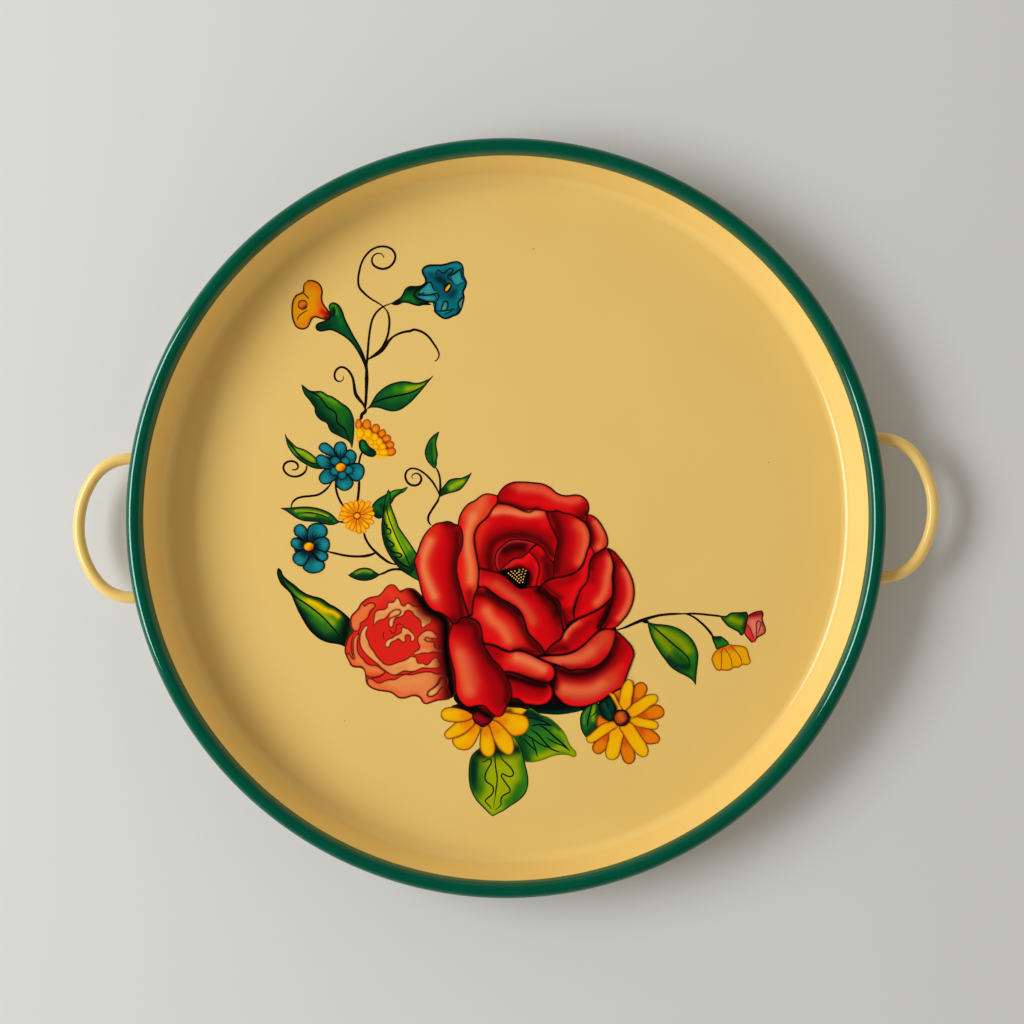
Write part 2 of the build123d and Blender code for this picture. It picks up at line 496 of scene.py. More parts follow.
def curveThrough(points, spacing, closed=False):
    # cubic pieces through given points, the slope at each point the average of its two
    # chords weighted by the other's length, then even steps along the whole length
    p = np.asarray(points, float)
    if closed:
        p = np.vstack([p[-2:], p, p[:2]])
    gap = np.linalg.norm(np.diff(p, axis=0), axis=1)[:, None]
    chord = np.diff(p, axis=0) / gap
    inner = (chord[:-1] * gap[1:] + chord[1:] * gap[:-1]) / (gap[:-1] + gap[1:])
    if len(p) > 2:
        ends = 1.5 * chord[[0, -1]] - 0.5 * inner[[0, -1]]
        slope = np.vstack([ends[:1], inner, ends[1:]])
    else:
        slope = np.vstack([chord, chord])
    if closed:
        p, gap, slope = p[2:-1], gap[2:-1], slope[2:-1]
    t = np.linspace(0, 1, paintLook["pieces"] + 1)[:-1][None, :, None]
    h = gap[:, None]
    pieces = ((2 * t ** 3 - 3 * t ** 2 + 1) * p[:-1, None] + (t ** 3 - 2 * t ** 2 + t) * h
              * slope[:-1, None] + (3 * t ** 2 - 2 * t ** 3) * p[1:, None]
              + (t ** 3 - t ** 2) * h * slope[1:, None])
    dense = np.vstack([pieces.reshape(-1, 2), p[-1:]])
    return evenly(dense, max(3, round(lengthAlong(dense)[-1] / spacing) + 1))


def distanceTo(points, line):
    # shortest distance from each point to a chain of straight pieces
    a, d = line[:-1], np.diff(line, axis=0)
    square = np.maximum((d ** 2).sum(1), 1e-12)
    toward = points[:, None] - a[None]
    share = np.clip((toward * d[None]).sum(2) / square, 0, 1)
    return np.sqrt(((toward - share[..., None] * d[None]) ** 2).sum(2).min(1))


def newPainting(palette, level=1):
    # level counts the layers that already lie under this group
    return dict(palette=palette, points=[], faces=[], colours=[], count=0, level=level)


def addTo(work, points, faces, colours):
    work["points"].append(points)
    work["colours"].append(colours)
    work["faces"] += faces
    work["count"] += len(points)


def skinFaces(rows, columns, start):
    # top grid, whose outer ring lies on the enamel, closed below by the ring as one face
    number = np.arange(rows * columns).reshape(rows, columns)
    ring = [number[0], number[1:, -1], number[-1, -2::-1], number[-2:0:-1, 0]]
    top = gridFaces(rows, columns, start=start)
    return top[:, ::-1].tolist() + [(np.concatenate(ring) + start).tolist()]


def shaded(work, flat, base, touches, rim, outline):
    # the base colour, then each touch of the brush fading out from its line as exp(-(d/w)^2),
    # then the rim shade along the outline
    palette = work["palette"]
    colour = np.tile(srgb(palette[base]), (len(flat), 1))
    for name, line, width, *strength in touches:
        route = curveThrough(line, 1.5) if len(line) > 1 else np.array([line[0], line[0]])
        share = np.exp(-(distanceTo(flat, route) / width) ** 2) * (strength[0] if strength else 1)
        colour += share[:, None] * (srgb(palette[name]) - colour)
    if rim:
        name, width, strength = rim
        share = strength * np.exp(-(distanceTo(flat, outline) / width) ** 2)
        colour += share[:, None] * (srgb(palette[name]) - colour)
    return colour


def addSkin(work, left, right, base, touches=(), rim=None, ink=None, dome=1.0, rise=1,
            inkName="ink"):
    # a skin ruled between two edges that both run from its base to its tip; its top lies one
    # layer over the last skin that rose, and swells by 4u(1 - u)sin(pi v) of the dome
    look = paintLook
    a, b = curveThrough(left, look["step"]), curveThrough(right, look["step"])
    rows = int(np.clip(max(len(a), len(b)) * look["step"] / look["grain"],
                       look["fewest"], look["most"][0]))
    a, b = evenly(a, rows), evenly(b, rows)
    across = np.linalg.norm(a - b, axis=1).max()
    columns = int(np.clip(across / look["grain"] * 1.2, look["fewest"], look["most"][1]))
    u = (0.5 - 0.5 * np.cos(np.linspace(0, math.pi, columns)))[None, :, None]
    flat = a[:, None] * (1 - u) + b[:, None] * u
    swell = 4 * (u * (1 - u))[..., 0] * np.sin(np.linspace(0, math.pi, rows))[:, None]
    height = floorTop + look["under"] + look["layer"] * work["level"]
    top = height + look["dome"] * dome * swell
    outline = np.vstack([a, b[::-1], a[:1]])
    colour = shaded(work, flat.reshape(-1, 2), base, touches, rim, outline)
    colour = colour.reshape(rows, columns, 3)
    # one more ring of points outside the grid, let down to the enamel
    side = (a - b) / np.maximum(np.linalg.norm(a - b, axis=1), 1e-6)[:, None]
    wide = np.concatenate([(a + look["bevel"] * side)[:, None], flat,
                           (b - look["bevel"] * side)[:, None]], axis=1)
    wide = np.concatenate([wide[:1], wide, wide[-1:]])
    z = np.full(wide.shape[:2], floorTop + look["under"])
    z[1:-1, 1:-1] = top
    colour = np.pad(colour, ((1, 1), (1, 1), (0, 0)), mode="edge")
    points = np.concatenate([wide, z[..., None]], axis=2).reshape(-1, 3)
    addTo(work, points, skinFaces(rows + 2, columns + 2, work["count"]), colour.reshape(-1, 3))
    for edge, width in zip((a, b), (ink, ink) if isinstance(ink, (int, float)) else ink or ()):
        if width:
            thin = edge[::2] if len(edge) > 40 else edge
            addLine(work, thin, width, inkName, taper=0.5, smoothed=True)
    work["level"] += rise


def addBlob(work, outline, base, **how):
    # a skin inside a closed outline, ruled between its two halves
    loop = curveThrough(outline, paintLook["step"], closed=True)
    far = int(np.argmax(np.linalg.norm(loop - loop[0], axis=1)))
    addSkin(work, loop[:far + 1], loop[:far - 1:-1], base, **how)


def addLine(work, route, width, name="ink", taper=0.5, smoothed=False):
    # a ridge of paint along a route: five points across, rounded over, thinner at both ends
    look = paintLook
    line = route if smoothed else curveThrough(route, 0.7)
    rows = len(line)
    step = np.gradient(line, axis=0)
    step /= np.maximum(np.linalg.norm(step, axis=1), 1e-9)[:, None]
    normal = np.column_stack([-step[:, 1], step[:, 0]])
    s = np.linspace(0, 1, rows)
    widths = np.interp(s, np.linspace(0, 1, len(width)), width) if np.ndim(width) else width
    half = look["pen"] * widths / 2 * (taper + (1 - taper) * np.minimum(1, 6 * np.minimum(s, 1 - s)))
    across = np.array([-1, -0.72, 0, 0.72, 1])
    rise = np.array([0, 0.7, 1, 0.7, 0])
    flat = line[:, None] + normal[:, None] * (half[:, None] * across)[..., None]
    height = floorTop + look["under"] + look["layer"] * (work["level"] + 0.15)
    z = height + look["ink"] * rise[None, :] * (0.4 + 0.6 * half / half.max())[:, None]
    z = np.where(rise[None, :] > 0, z, floorTop + look["under"])
    points = np.concatenate([flat, z[..., None]], axis=2).reshape(-1, 3)
    start = work["count"]
    faces = gridFaces(rows, 5, wrapColumns=True, start=start)[:, ::-1].tolist()
    faces += [list(range(start, start + 5)),
              list(range(start + 5 * rows - 1, start + 5 * rows - 6, -1))]
    colours = np.tile(srgb(work["palette"][name]), (len(points), 1))
    addTo(work, points, faces, colours)


def finishPainting(work, name):
    piece = makePiece(name, np.vstack(work["points"]), work["faces"], lacquer,
                      colours=np.vstack(work["colours"]), merge=0.002)
    print(name, "ready:", len(piece.data.polygons), "faces")
    return piece


# the leaves that lie under the flowers, and the shadow painted between them
leafPalette = dict(green="#1f6b1a", bright="#5fa012", lime="#9fb002", yellow="#f6c404",
                   grass="#2f7a1a", deep="#06391f", pine="#032a1e", sea="#0c5a3c", black="#020d0a",
                   ink="#04170e", vein="#0c2f0c", faint="#5f7406", pale="#6f9c3c")
leafShapes = [
    # the long leaf at the left
    dict(left=xy(-129.6,-24.9, -128.3,-26, -127.2,-29, -124.2,-32.2, -121,-34.7, -117.6,-37.8,
            -114,-40.2, -110,-41.7, -106.6,-42.6, -104.4,-43.8, -101.6,-46, -98,-48, -94.6,-50.5,
            -91.6,-53.2, -89.2,-56, -86,-62),
        right=xy(-129.6,-24.9, -130.3,-26.4, -130.1,-28.8, -129.2,-31.8, -127.6,-34.6, -124.6,-37.4,
            -122.6,-40, -121,-44, -119,-49, -116.5,-54, -113.6,-59, -110.5,-62.7, -106.5,-65.9,
            -102,-67.7, -97,-68.6, -94,-69.7, -91.6,-71.2, -86,-70),
        base="green", rim=("black", 1.5, 0.95), touches=[
            ("pine", xy(-119,-47, -114,-57, -107,-64, -98,-66.6), 4.2, 0.95),
            ("bright", xy(-122,-42, -117,-46, -111,-50.6, -106,-55), 1.5, 0.6),
            ("grass", xy(-110,-54, -103,-61), 2.4, 0.6),
            ("bright", xy(-124,-37, -118,-41.4, -112,-44.6), 1.9, 0.9),
            ("lime", xy(-116,-42.6, -106,-51, -99.6,-57), 2.3, 0.9),
            ("yellow", xy(-113,-43.8, -108,-46.4, -103.6,-49.4, -98,-51.4, -96.4,-53), 1.9, 1.0),
            ("black", xy(-91,-56, -93,-63, -93,-69), 3.6, 0.9), ("ink", [(-129.4, -26)], 1.4, 0.8)]),
    # the leaf hanging at the bottom
    dict(left=xy(-11.9,-168.5, -13.1,-167.8, -15,-165.8, -18,-162.5, -21,-159, -23,-155.4, -24.3,-151.4,
            -24.8,-147, -24.7,-142, -24.2,-138, -23.2,-134.6, -21,-132, -18.3,-130, -14,-124),
        right=xy(-11.9,-168.5, -9.6,-167.2, -6,-165.5, -2.5,-163.1, 1,-161, 4,-158.8, 6.5,-156,
            7.9,-152.5, 8.3,-148.5, 7.9,-144.6, 7.1,-141, 6.4,-137.6, 5.6,-133.5, 4.6,-129.6, 2,-125,
            -4,-120),
        base="lime", rim=("green", 0.8, 0.8), touches=[
            ("grass", xy(6.6,-139, 7,-148, 3.6,-156.6, -3,-161.6), 3.6, 0.95),
            ("green", xy(0.4,-158.6, 3,-152), 2.6, 0.7),
            ("deep", xy(-22.6,-136, -23.4,-145, -21.6,-152), 4.4, 1.0),
            ("pine", xy(-22,-139, -22,-147), 2.6, 0.9),
            ("grass", xy(-17,-142, -18.6,-150, -20,-157), 2.6, 0.6),
            ("pine", xy(-16,-133, -8,-132, 3,-131), 3.6, 1.0),
            ("black", xy(-19.6,-132.4, -10,-128, -4,-130), 2.6, 0.9)]),
    # the leaf to its right
    dict(left=xy(36.2,-135.6, 36,-133.6, 34,-131.2, 32,-128, 30.6,-124, 28.5,-120.7, 26,-117.8, 23,-115,
            20,-113.1, 17.6,-112.3, 10,-108, 0,-112),
        right=xy(36.2,-135.6, 35,-136.3, 32,-135.3, 28.5,-134.8, 25,-135, 22,-135.7, 18,-137.2,
            14,-138.2, 10,-138.6, 6.3,-137.8, 4.8,-132, 2.4,-126, -2,-120, 0,-112),
        base="grass", rim=("faint", 0.7, 0.8), touches=[
            ("lime", xy(34.6,-134.4, 28,-131, 20,-134.4, 11,-137), 2.8, 0.95),
            ("lime", xy(31.6,-128.6, 28.6,-123.6, 25,-121), 1.9, 0.75),
            ("deep", xy(5,-124, 6.6,-134, 8,-137), 3.6, 0.85),
            ("sea", xy(10,-118, 18,-116), 4, 0.8),
            ("deep", xy(22,-115, 27,-119.6), 1.8, 0.7),
            ("pine", xy(2,-114, 8,-111, 16,-112.6), 3.4, 1.0)]),
    # the two small leaves beside the right-hand daisy
    dict(left=xy(41.8,-125.2, 40,-122, 39.2,-118.5, 39.1,-115, 40,-111.5, 42,-109, 44.4,-107,
            47.5,-104.4),
        right=xy(41.8,-125.2, 44,-123.6, 46.6,-121.4, 49,-118.5, 50.4,-115, 50.5,-111, 49.6,-107.6,
            47.5,-104.4),
        base="green", rim=("deep", 0.9, 0.95), touches=[
            ("pale", xy(41,-117, 41.6,-112, 43.6,-109), 1.1, 0.6),
            ("lime", xy(47.4,-108, 46,-112.6, 46.4,-116), 1.2, 0.95),
            ("deep", xy(48.4,-117, 45,-121, 42.4,-123), 1.9, 0.8),
            ("pine", xy(49,-108, 49.6,-113), 1.4, 0.9)]),
    dict(left=xy(57.8,-119.2, 54.5,-117.5, 52.2,-115, 50.6,-112, 49.7,-109, 49.8,-106.4, 52,-104.4,
            55,-102),
        right=xy(57.8,-119.2, 58.7,-116, 59.4,-112, 59,-107.5, 57.6,-104, 55,-102),
        base="pine", rim=("black", 0.9, 0.9), touches=[
            ("sea", xy(52.4,-106.6, 54,-110, 55.4,-114), 1.2, 0.6),
            ("sea", xy(55.6,-105, 57,-110), 0.9, 0.4)]),
]
leafVeins = [
    (xy(-128.4,-30, -124.6,-36.5, -120,-41.6, -115,-45.2, -110,-49, -105,-53.5, -101,-58, -98,-61.5,
        -95.6,-64.8), 0.85, "ink"),
    (xy(-9.9,-133, -9.9,-138, -9.6,-142, -9,-146, -9.2,-150, -9.9,-154, -10.5,-158), 0.7, "vein"),
    (xy(-10.5,-157.6, -11.2,-161.6, -11.5,-164), 0.55, "faint"),
    (xy(-17.6,-137.6, -15.6,-137.5, -13.8,-136.2, -12.5,-136.2, -12.1,-138, -13.6,-140.8, -15.2,-143.6,
        -15.9,-146.6, -15,-149, -13,-150.4, -11.6,-151.8, -11.3,-154, -12.5,-156.4, -15,-158.4,
        -16.2,-159.8, -14.6,-161.8, -12.8,-164.3), 0.75, "vein"),
    (xy(-7.2,-132.6, -6.5,-135.5, -4.5,-138, -2,-140.5, -0.2,-143, 0.2,-145.2, -1.2,-146.4, -3.6,-145.9,
        -6,-144.8, -6.6,-145.6, -5.5,-148, -3.5,-151, -2,-153.5, -2,-155, -4,-156, -6.3,-157.4,
        -7.3,-159.5, -7.3,-162, -8.6,-163.6, -10.6,-165), 0.75, "vein"),
    (xy(8,-113.4, 13,-113.9, 18,-115.7, 22.8,-118.2), 0.75, "ink"),
    (xy(11,-118.2, 15,-117.4, 19,-117.6, 22.8,-118.2), 0.75, "ink"),
    (xy(15.6,-117.4, 20,-120.6, 24,-124.6, 29,-129, 32.6,-133), 0.8, "ink"),
    (xy(19,-124.4, 24,-127.8, 29,-130, 32.4,-132.8), 0.6, "ink"),
    (xy(10.5,-120, 14.5,-122.8, 18,-127, 22,-131.3, 26.6,-133.2), 0.8, "ink"),
    (xy(7,-122.4, 11,-125, 16,-128.5, 21,-130.8), 0.7, "ink"),
    (xy(6.5,-125, 10,-129, 13,-132), 0.7, "ink"),
    (xy(11.2,-125.4, 12.8,-130, 14,-135.6), 0.65, "ink"),
    (xy(45.6,-107, 44.4,-111.6, 43.2,-115.6, 42.8,-119.2), 0.75, "ink"),
    (xy(44.6,-114, 47,-112, 48.6,-110), 0.5, "ink"),
    (xy(54,-105, 55,-110), 0.5, "black"),
]


def paintLeaves():
    work = newPainting(leafPalette)
    shadow = xy(-32.4,-99.2, -32.3,-101.4, -30.4,-104.2, -27.6,-106.6, -24.4,-109, -20,-112, -10,-113,
        -2,-109, 8,-109.6, 18,-111.3, 27,-112, 33,-111.4, 40,-110, 44,-108.6, 48,-106, 58,-100, 48,-98,
        0,-96, -26,-96)
    addBlob(work, shadow, "black", touches=[("pine", xy(16,-111, 28,-111, 38,-109.6), 1.6)])
    for leaf in leafShapes:
        addSkin(work, leaf["left"], leaf["right"], leaf["base"], leaf["touches"],
                rim=leaf["rim"], ink=0.5 if leaf["rim"][0] != "faint" else None, rise=0)
    work["level"] += 1
    for route, width, name in leafVeins:
        addLine(work, route, width, name)
    return finishPainting(work, "painted_leaves")


paintLeaves()


# the carnation: a red ruffle with salmon lights, its right side in the shadow of the rose
carnationPalette = dict(red="#dd231b", vermilion="#e63a20", orange="#ee6c36", apricot="#e8864a",
    salmon="#eba45e", cream="#f3bd7e", tan="#c27a40", wine="#7c0908",
                        black="#070303", ink="#6b130b")
carnationShade = [
    ("wine", xy(-54.5,-38, -51,-44, -48,-50, -42,-54, -38.5,-60, -38.5,-72, -38,-84, -36.5,-94,
        -36,-102), 4.2, 0.9),
    ("black", xy(-53,-38.5, -49,-45, -46,-50, -41,-53, -36.4,-57, -35.6,-64, -35.8,-74, -34.8,-84,
        -34,-92, -33,-103), 2.9, 1.0),
]
carnationShapes = [
    # outline, base colour and touches of each shape: the lobe on the left
    (xy(-82.8,-46.3, -81.3,-47.6, -79.5,-46.4, -77,-45.9, -75.4,-46.8, -75.5,-48.4, -77.5,-50,
        -78.8,-52, -79.6,-54.3, -81.6,-56, -83.9,-57.6, -84.3,-60, -85.6,-61.8, -87.6,-61.6, -89,-59.6,
        -89.4,-56.5, -88.8,-53.3, -86.6,-51, -84.8,-49.2), "orange",
     [("apricot", xy(-79,-47.6, -84,-53, -87,-58), 1.6, 0.6)]),
    # the salmon band at the upper left, running over the top
    (xy(-76.6,-59.3, -76.3,-55, -75.2,-51, -73.2,-50, -70.4,-49.8, -68.7,-48.6, -68.4,-46.4,
        -67.3,-45.9, -65.4,-46, -64.2,-45, -63.6,-43.4, -62.3,-43.6, -61,-46, -60.3,-47.7, -58.6,-48.1,
        -57.6,-46.8, -56,-46.7, -54.4,-48.3, -51.4,-48.9, -49.4,-50, -48,-52.8, -45.8,-54.2, -44,-54.8,
        -43.5,-57, -44.6,-59, -46.6,-59.6, -48,-60.8, -49.2,-60.9, -49.8,-59.4, -50,-57, -51.4,-55.4,
        -53.6,-53.6, -55,-51.4, -57,-50.8, -58.4,-51.4, -59.2,-53.4, -61,-54.4, -63.8,-54.8, -65,-56.8,
        -65.6,-59.4, -66.8,-60.6, -67.8,-59.4, -68,-57, -66.8,-54.9, -64.2,-54, -61.6,-52.8, -61,-51.2,
        -61.8,-50.3, -64,-50.3, -66.4,-51.4, -68.6,-53.8, -70.4,-55.4, -73,-56, -75,-57), "salmon",
     [("cream", xy(-66,-47, -62.6,-45.6), 1.4, 0.7), ("cream", [(-75.6, -57)], 1.2, 0.7),
      ("cream", xy(-67,-59.5, -67,-57), 0.9, 0.7), ("cream", [(-57, -48)], 0.9, 0.7),
      ("tan", xy(-51,-50.5, -47.5,-55.5, -45,-58), 2.6, 0.9),
      ("cream", [(-48.6, -60)], 0.9, 0.8), ("apricot", xy(-74,-53, -70,-53), 1.4, 0.5)]),
    # the crook in the middle
    (xy(-70.5,-69.7, -69.8,-68, -68.2,-66.6, -66.4,-66.2, -64.8,-64.9, -62.6,-64, -61,-62.8,
        -60.8,-60.8, -59.8,-59.9, -58.6,-60.8, -57.2,-60.9, -56,-62.4, -54.2,-64, -53.4,-66, -53.9,-68,
        -55,-68.7, -56,-67.8, -55.9,-65.8, -57,-64.6, -58.7,-65.3, -58.8,-67, -58.7,-68.6, -59.9,-69,
        -61.4,-68, -63,-66.6, -64.4,-67.8, -66,-68.2, -67.2,-69, -67.8,-71, -69.2,-71.5, -70.3,-70.9),
        "salmon",
     [("cream", xy(-69.4,-69.6, -67.4,-67.6), 1.1, 0.8), ("cream", [(-54.6, -67.4)], 1, 0.8),
      ("cream", [(-59.6, -61.6)], 0.9, 0.6), ("apricot", xy(-61,-65.4, -58,-63.6), 1.2, 0.6)]),
    # the long sickle down the left and along the bottom
    (xy(-79.8,-58.3, -79.9,-60.2, -81,-62.6, -80.9,-64.8, -79.8,-67.4, -79,-70.4, -77,-73.2,
        -75.3,-76.2, -73,-78.8, -70.8,-80.8, -68.6,-81.5, -66,-80.9, -63,-79.8, -60,-79, -57.8,-78,
        -55.6,-76.7, -54,-77.2, -52.8,-77.6, -52.6,-79.6, -51.4,-81, -50.2,-80.6, -48.6,-81.2,
        -47.3,-82, -45.4,-80.6, -43.6,-78.6, -41.4,-77.6, -40.3,-79.8, -39.6,-83.4, -41.8,-84.1,
        -45,-84, -50,-83.8, -53.6,-85.3, -57,-85.5, -60,-85.1, -62.8,-86.4, -65.4,-87.3, -68,-86.6,
        -70.2,-85, -72.8,-83, -75.4,-80.4, -78,-78.2, -80.6,-75.9, -83,-73, -84.5,-69.6, -84.7,-66,
        -83.8,-62.4, -82.2,-59.8), "salmon",
     [("cream", xy(-80.4,-59.6, -82.6,-63), 1.1, 0.6), ("apricot", xy(-83,-67, -79.6,-73), 1.6, 0.4),
      ("apricot", xy(-74,-80.6, -68,-84, -60,-82.6), 2.0, 0.7),
      ("cream", [(-56, -78.6)], 1.4, 0.5), ("cream", xy(-50,-82.4, -44,-80.4), 1.2, 0.4)]),
    # the orange tongues on the far left
    (xy(-84.9,-63.6, -86.4,-63.8, -88,-66, -88.6,-70, -88.4,-74, -88.2,-77.6, -89.2,-77, -91.4,-73.6,
        -92.2,-75, -90.6,-79, -89.6,-81, -87,-81.8, -84,-82, -82.4,-84, -81.6,-87, -77,-88, -73.4,-87.2,
        -70.9,-85.4, -73.4,-83, -75.8,-81.4, -78.6,-81.2, -81.4,-79.8, -82.8,-77.6, -84.4,-76,
        -85.9,-73.4, -86.1,-70, -85.8,-66.6), "orange",
     [("apricot", xy(-86.6,-65.4, -87.2,-72, -85.6,-78, -80,-83, -75,-84.6), 1.8, 0.8),
      ("vermilion", xy(-80,-86.6, -75,-86.6), 1.2, 0.5)]),
    # the lobe on the right
    (xy(-55,-76, -53.6,-74.2, -51.4,-73, -51,-71.2, -51.9,-68.8, -51.9,-66.4, -50.4,-64.6, -48,-62.9,
        -45.6,-62.2, -43.2,-62.9, -41.6,-64.8, -40.1,-66.2, -40.4,-67.2, -42.6,-67.3, -45,-67,
        -46.8,-66.4, -48,-67.4, -46.6,-68.6, -44,-68.8, -42.4,-69.4, -42.6,-71.6, -40.6,-72.8,
        -38.6,-73.2, -39,-75.6, -41,-75.4, -43.2,-74.7, -46,-75.5, -49,-75.2, -52,-76), "apricot",
     [("salmon", xy(-47,-64.4, -43,-65), 1.5, 0.8), ("orange", xy(-49.6,-71.6, -45,-71), 1.6, 0.8),
      ("salmon", xy(-52.6,-75, -48,-74), 1.0, 0.6)]),
    # the broad bottom petal
    (xy(-80.4,-88.8, -77.6,-89.6, -76,-90.9, -74,-91.4, -71,-90.2, -68.4,-89.6, -65.4,-89.6, -62.6,-88,
        -60,-87, -56,-87.2, -52,-86.4, -48,-85.8, -44.6,-86, -41.6,-87.2, -38.4,-87.1, -36.6,-88.6,
        -39.8,-89.6, -41.2,-92.4, -43.8,-95, -46.8,-97.2, -47.2,-99.2, -45.6,-100, -42.8,-98.9,
        -40.6,-96.8, -39.6,-95, -36.6,-94.7, -35,-101.4, -38,-101.8, -42,-102, -46,-103.2, -48.4,-103.8,
        -50,-102.4, -51,-100.4, -52.8,-99.2, -56,-99, -60,-100.1, -63.4,-99.8, -66,-97.8, -68,-96.6,
        -72,-95.8, -76,-95, -79,-93.6, -80.8,-91.6), "apricot",
     [("orange", xy(-79,-91.4, -72,-94, -66,-96, -60,-98.6, -54,-97.6, -49.6,-101.6, -43,-100.6), 1.9,
         0.8),
      ("vermilion", xy(-42,-101, -37,-98), 2.6, 0.9),
      ("salmon", xy(-66,-92, -56,-91, -50,-90), 2.6, 0.35)]),
    # the pale tongue at the lower right
    (xy(-36.2,-88.8, -38.4,-89.4, -39.8,-90.6, -41,-93, -43.4,-94.9, -46.2,-96.8, -47.2,-98.6,
        -46,-99.9, -43.6,-99.4, -41.4,-98.2, -40.2,-96.2, -38.8,-94.8, -36,-94.6, -35.4,-91.6),
        "salmon",
     [("cream", xy(-46,-98.6, -43.4,-97), 1.3, 0.7), ("tan", [(-38.8, -92)], 2, 0.8)]),
]
carnationEdge = xy(-66,-35.9, -63.7,-36.6, -61.9,-39.1, -60.8,-40.1, -58.8,-38.9, -56,-38.4,
    -53.4,-38.9, -51,-40.9, -48.4,-43.4, -44,-45, -34,-50, -31,-60, -31,-76, -30,-90, -32,-99.6,
    -35,-101.6, -38,-102, -42,-102.3, -46,-103.5, -48.5,-104, -50.2,-102.6, -51.2,-100.6, -53,-99.4,
    -56,-99.2, -60,-100.3, -63.5,-100, -66,-98, -68,-96.8, -72,-96, -76,-95.2, -79,-93.8, -81.1,-91.7,
    -81.7,-89, -81.8,-86.4, -82.2,-84.2, -83.6,-82.6, -86,-82.1, -88.4,-81.9, -89.9,-81, -90.8,-78.8,
    -92.2,-76, -93.1,-72.8, -92.5,-69, -91.4,-66, -89.8,-63.4, -88.2,-61.8, -89.3,-59.6, -89.6,-56.5,
    -89,-53.2, -86.8,-51, -85,-49.2, -83.6,-46.7, -81.4,-44.6, -78.6,-43.1, -75.6,-42.5, -73.2,-42,
    -71.3,-40.4, -69.6,-38.1, -67.8,-36.4)


def paintCarnation():
    work = newPainting(carnationPalette, level=4)
    lights = [("vermilion", xy(-76,-45, -68,-40, -62,-43, -56,-42), 4.2, 0.9),
              ("vermilion", xy(-90,-66, -91,-73, -89,-79), 2.4, 0.9),
              ("vermilion", xy(-79,-87.5, -70,-88, -60,-86.4), 1.6, 0.7),
              ("vermilion", xy(-46,-52, -42,-60), 2.4, 0.6)]
    addBlob(work, carnationEdge, "red", touches=lights + carnationShade, rim=("ink", 0.55, 0.9),
            ink=0.6)
    for outline, base, touches in carnationShapes:
        addBlob(work, outline, base, touches=list(touches) + carnationShade,
                rim=("ink", 0.5, 0.85), ink=0.5, rise=0)
    work["level"] += 1
    for route in (xy(-70.9,-66.9, -71.3,-65, -70.9,-62.5),
                  xy(-67.9,-61.2, -66.6,-62.9, -65.6,-63.5, -64.4,-62.8, -63.9,-60.6, -63.4,-58.6,
                      -61.8,-58.3, -60.3,-59.1, -59.8,-59.7),
                  xy(-80.4,-88.6, -77,-88.6, -73.6,-87.8, -70.6,-85.4),
                  xy(-88.6,-64.5, -89.4,-68, -89.6,-72, -88.4,-77.4),
                  xy(-85,-64, -85.6,-61.4),
                  xy(-53.6,-85.2, -57.6,-86.6, -62,-86.9, -65.4,-87.6)):
        addLine(work, route, 0.5)
    return finishPainting(work, "painted_carnation")


paintCarnation()


# the two daisies under the rose
daisyPalette = dict(yellow="#f6b804", amber="#f7a606", gold="#f4c004", orange="#ea7e06",
                    rust="#c94c0a", umber="#a85a06", sienna="#7a3204", shade="#2a1404",
                    wine="#a00618", plum="#4a0410", black="#0a0404", ink="#8a4606",
                    ember="#c4480a", flame="#dd6a1c")
leftDaisy = [
    xy(-21,-111.6, -24.5,-108.6, -29,-107.2, -32,-106.5, -35,-106.4, -37.6,-106.9, -39.3,-108.2,
        -39.9,-110, -39.5,-111.9, -38,-113.4, -35.5,-114.3, -32,-114.7, -28,-114.6, -24.6,-113.8),
    xy(-20.6,-112.8, -24.6,-113.9, -28,-114.7, -31.6,-115.1, -34,-117, -36.5,-119, -38.1,-121, -38,-123,
        -36.3,-124.2, -33.6,-123.8, -30,-122.8, -27,-121.3, -24.4,-119.4, -21.4,-116.6),
    xy(-19,-114.8, -21.6,-117, -24.5,-119.6, -27,-121.5, -30,-123, -33.5,-124, -33.7,-126, -32.5,-128.4,
        -30.5,-130, -28,-130.6, -25,-130.3, -22.5,-128.5, -20.7,-126, -19.2,-123, -17.9,-119.6),
    xy(-15.4,-115, -17.5,-120.6, -18.1,-125, -18.3,-128, -17.9,-131, -16.5,-133.5, -14,-134.9,
        -11.6,-134.4, -10.3,-132.5, -9.8,-130, -10,-127, -10.8,-123.5, -12,-119.5),
    xy(-12.6,-114.6, -12,-120, -10.7,-124.2, -9.2,-127.5, -7.5,-130.3, -5,-132.7, -2.6,-134.1,
        -0.6,-133.6, 0.6,-131.8, 1,-129, 0.6,-126, -0.5,-123.2, -2.5,-120.7, -5,-117.8, -8.6,-114.6),
    xy(-10.4,-113.4, -6.4,-111.4, -3.8,-110.2, 0,-110.6, 3,-111, 6,-111.7, 8.3,-113, 9.6,-115.3,
        9.7,-118, 8.6,-120.4, 6.5,-122.4, 3.5,-123.4, 0.5,-123.3, -1.5,-121.8, -4,-119, -6.6,-116.4),
    xy(-6,-110.6, -3,-105, 0,-105.8, 4,-106.6, 8,-107.4, 9.3,-108.5, 8,-109.8, 6,-111.4, 3,-110.9,
        0,-110.4, -3,-110),
]
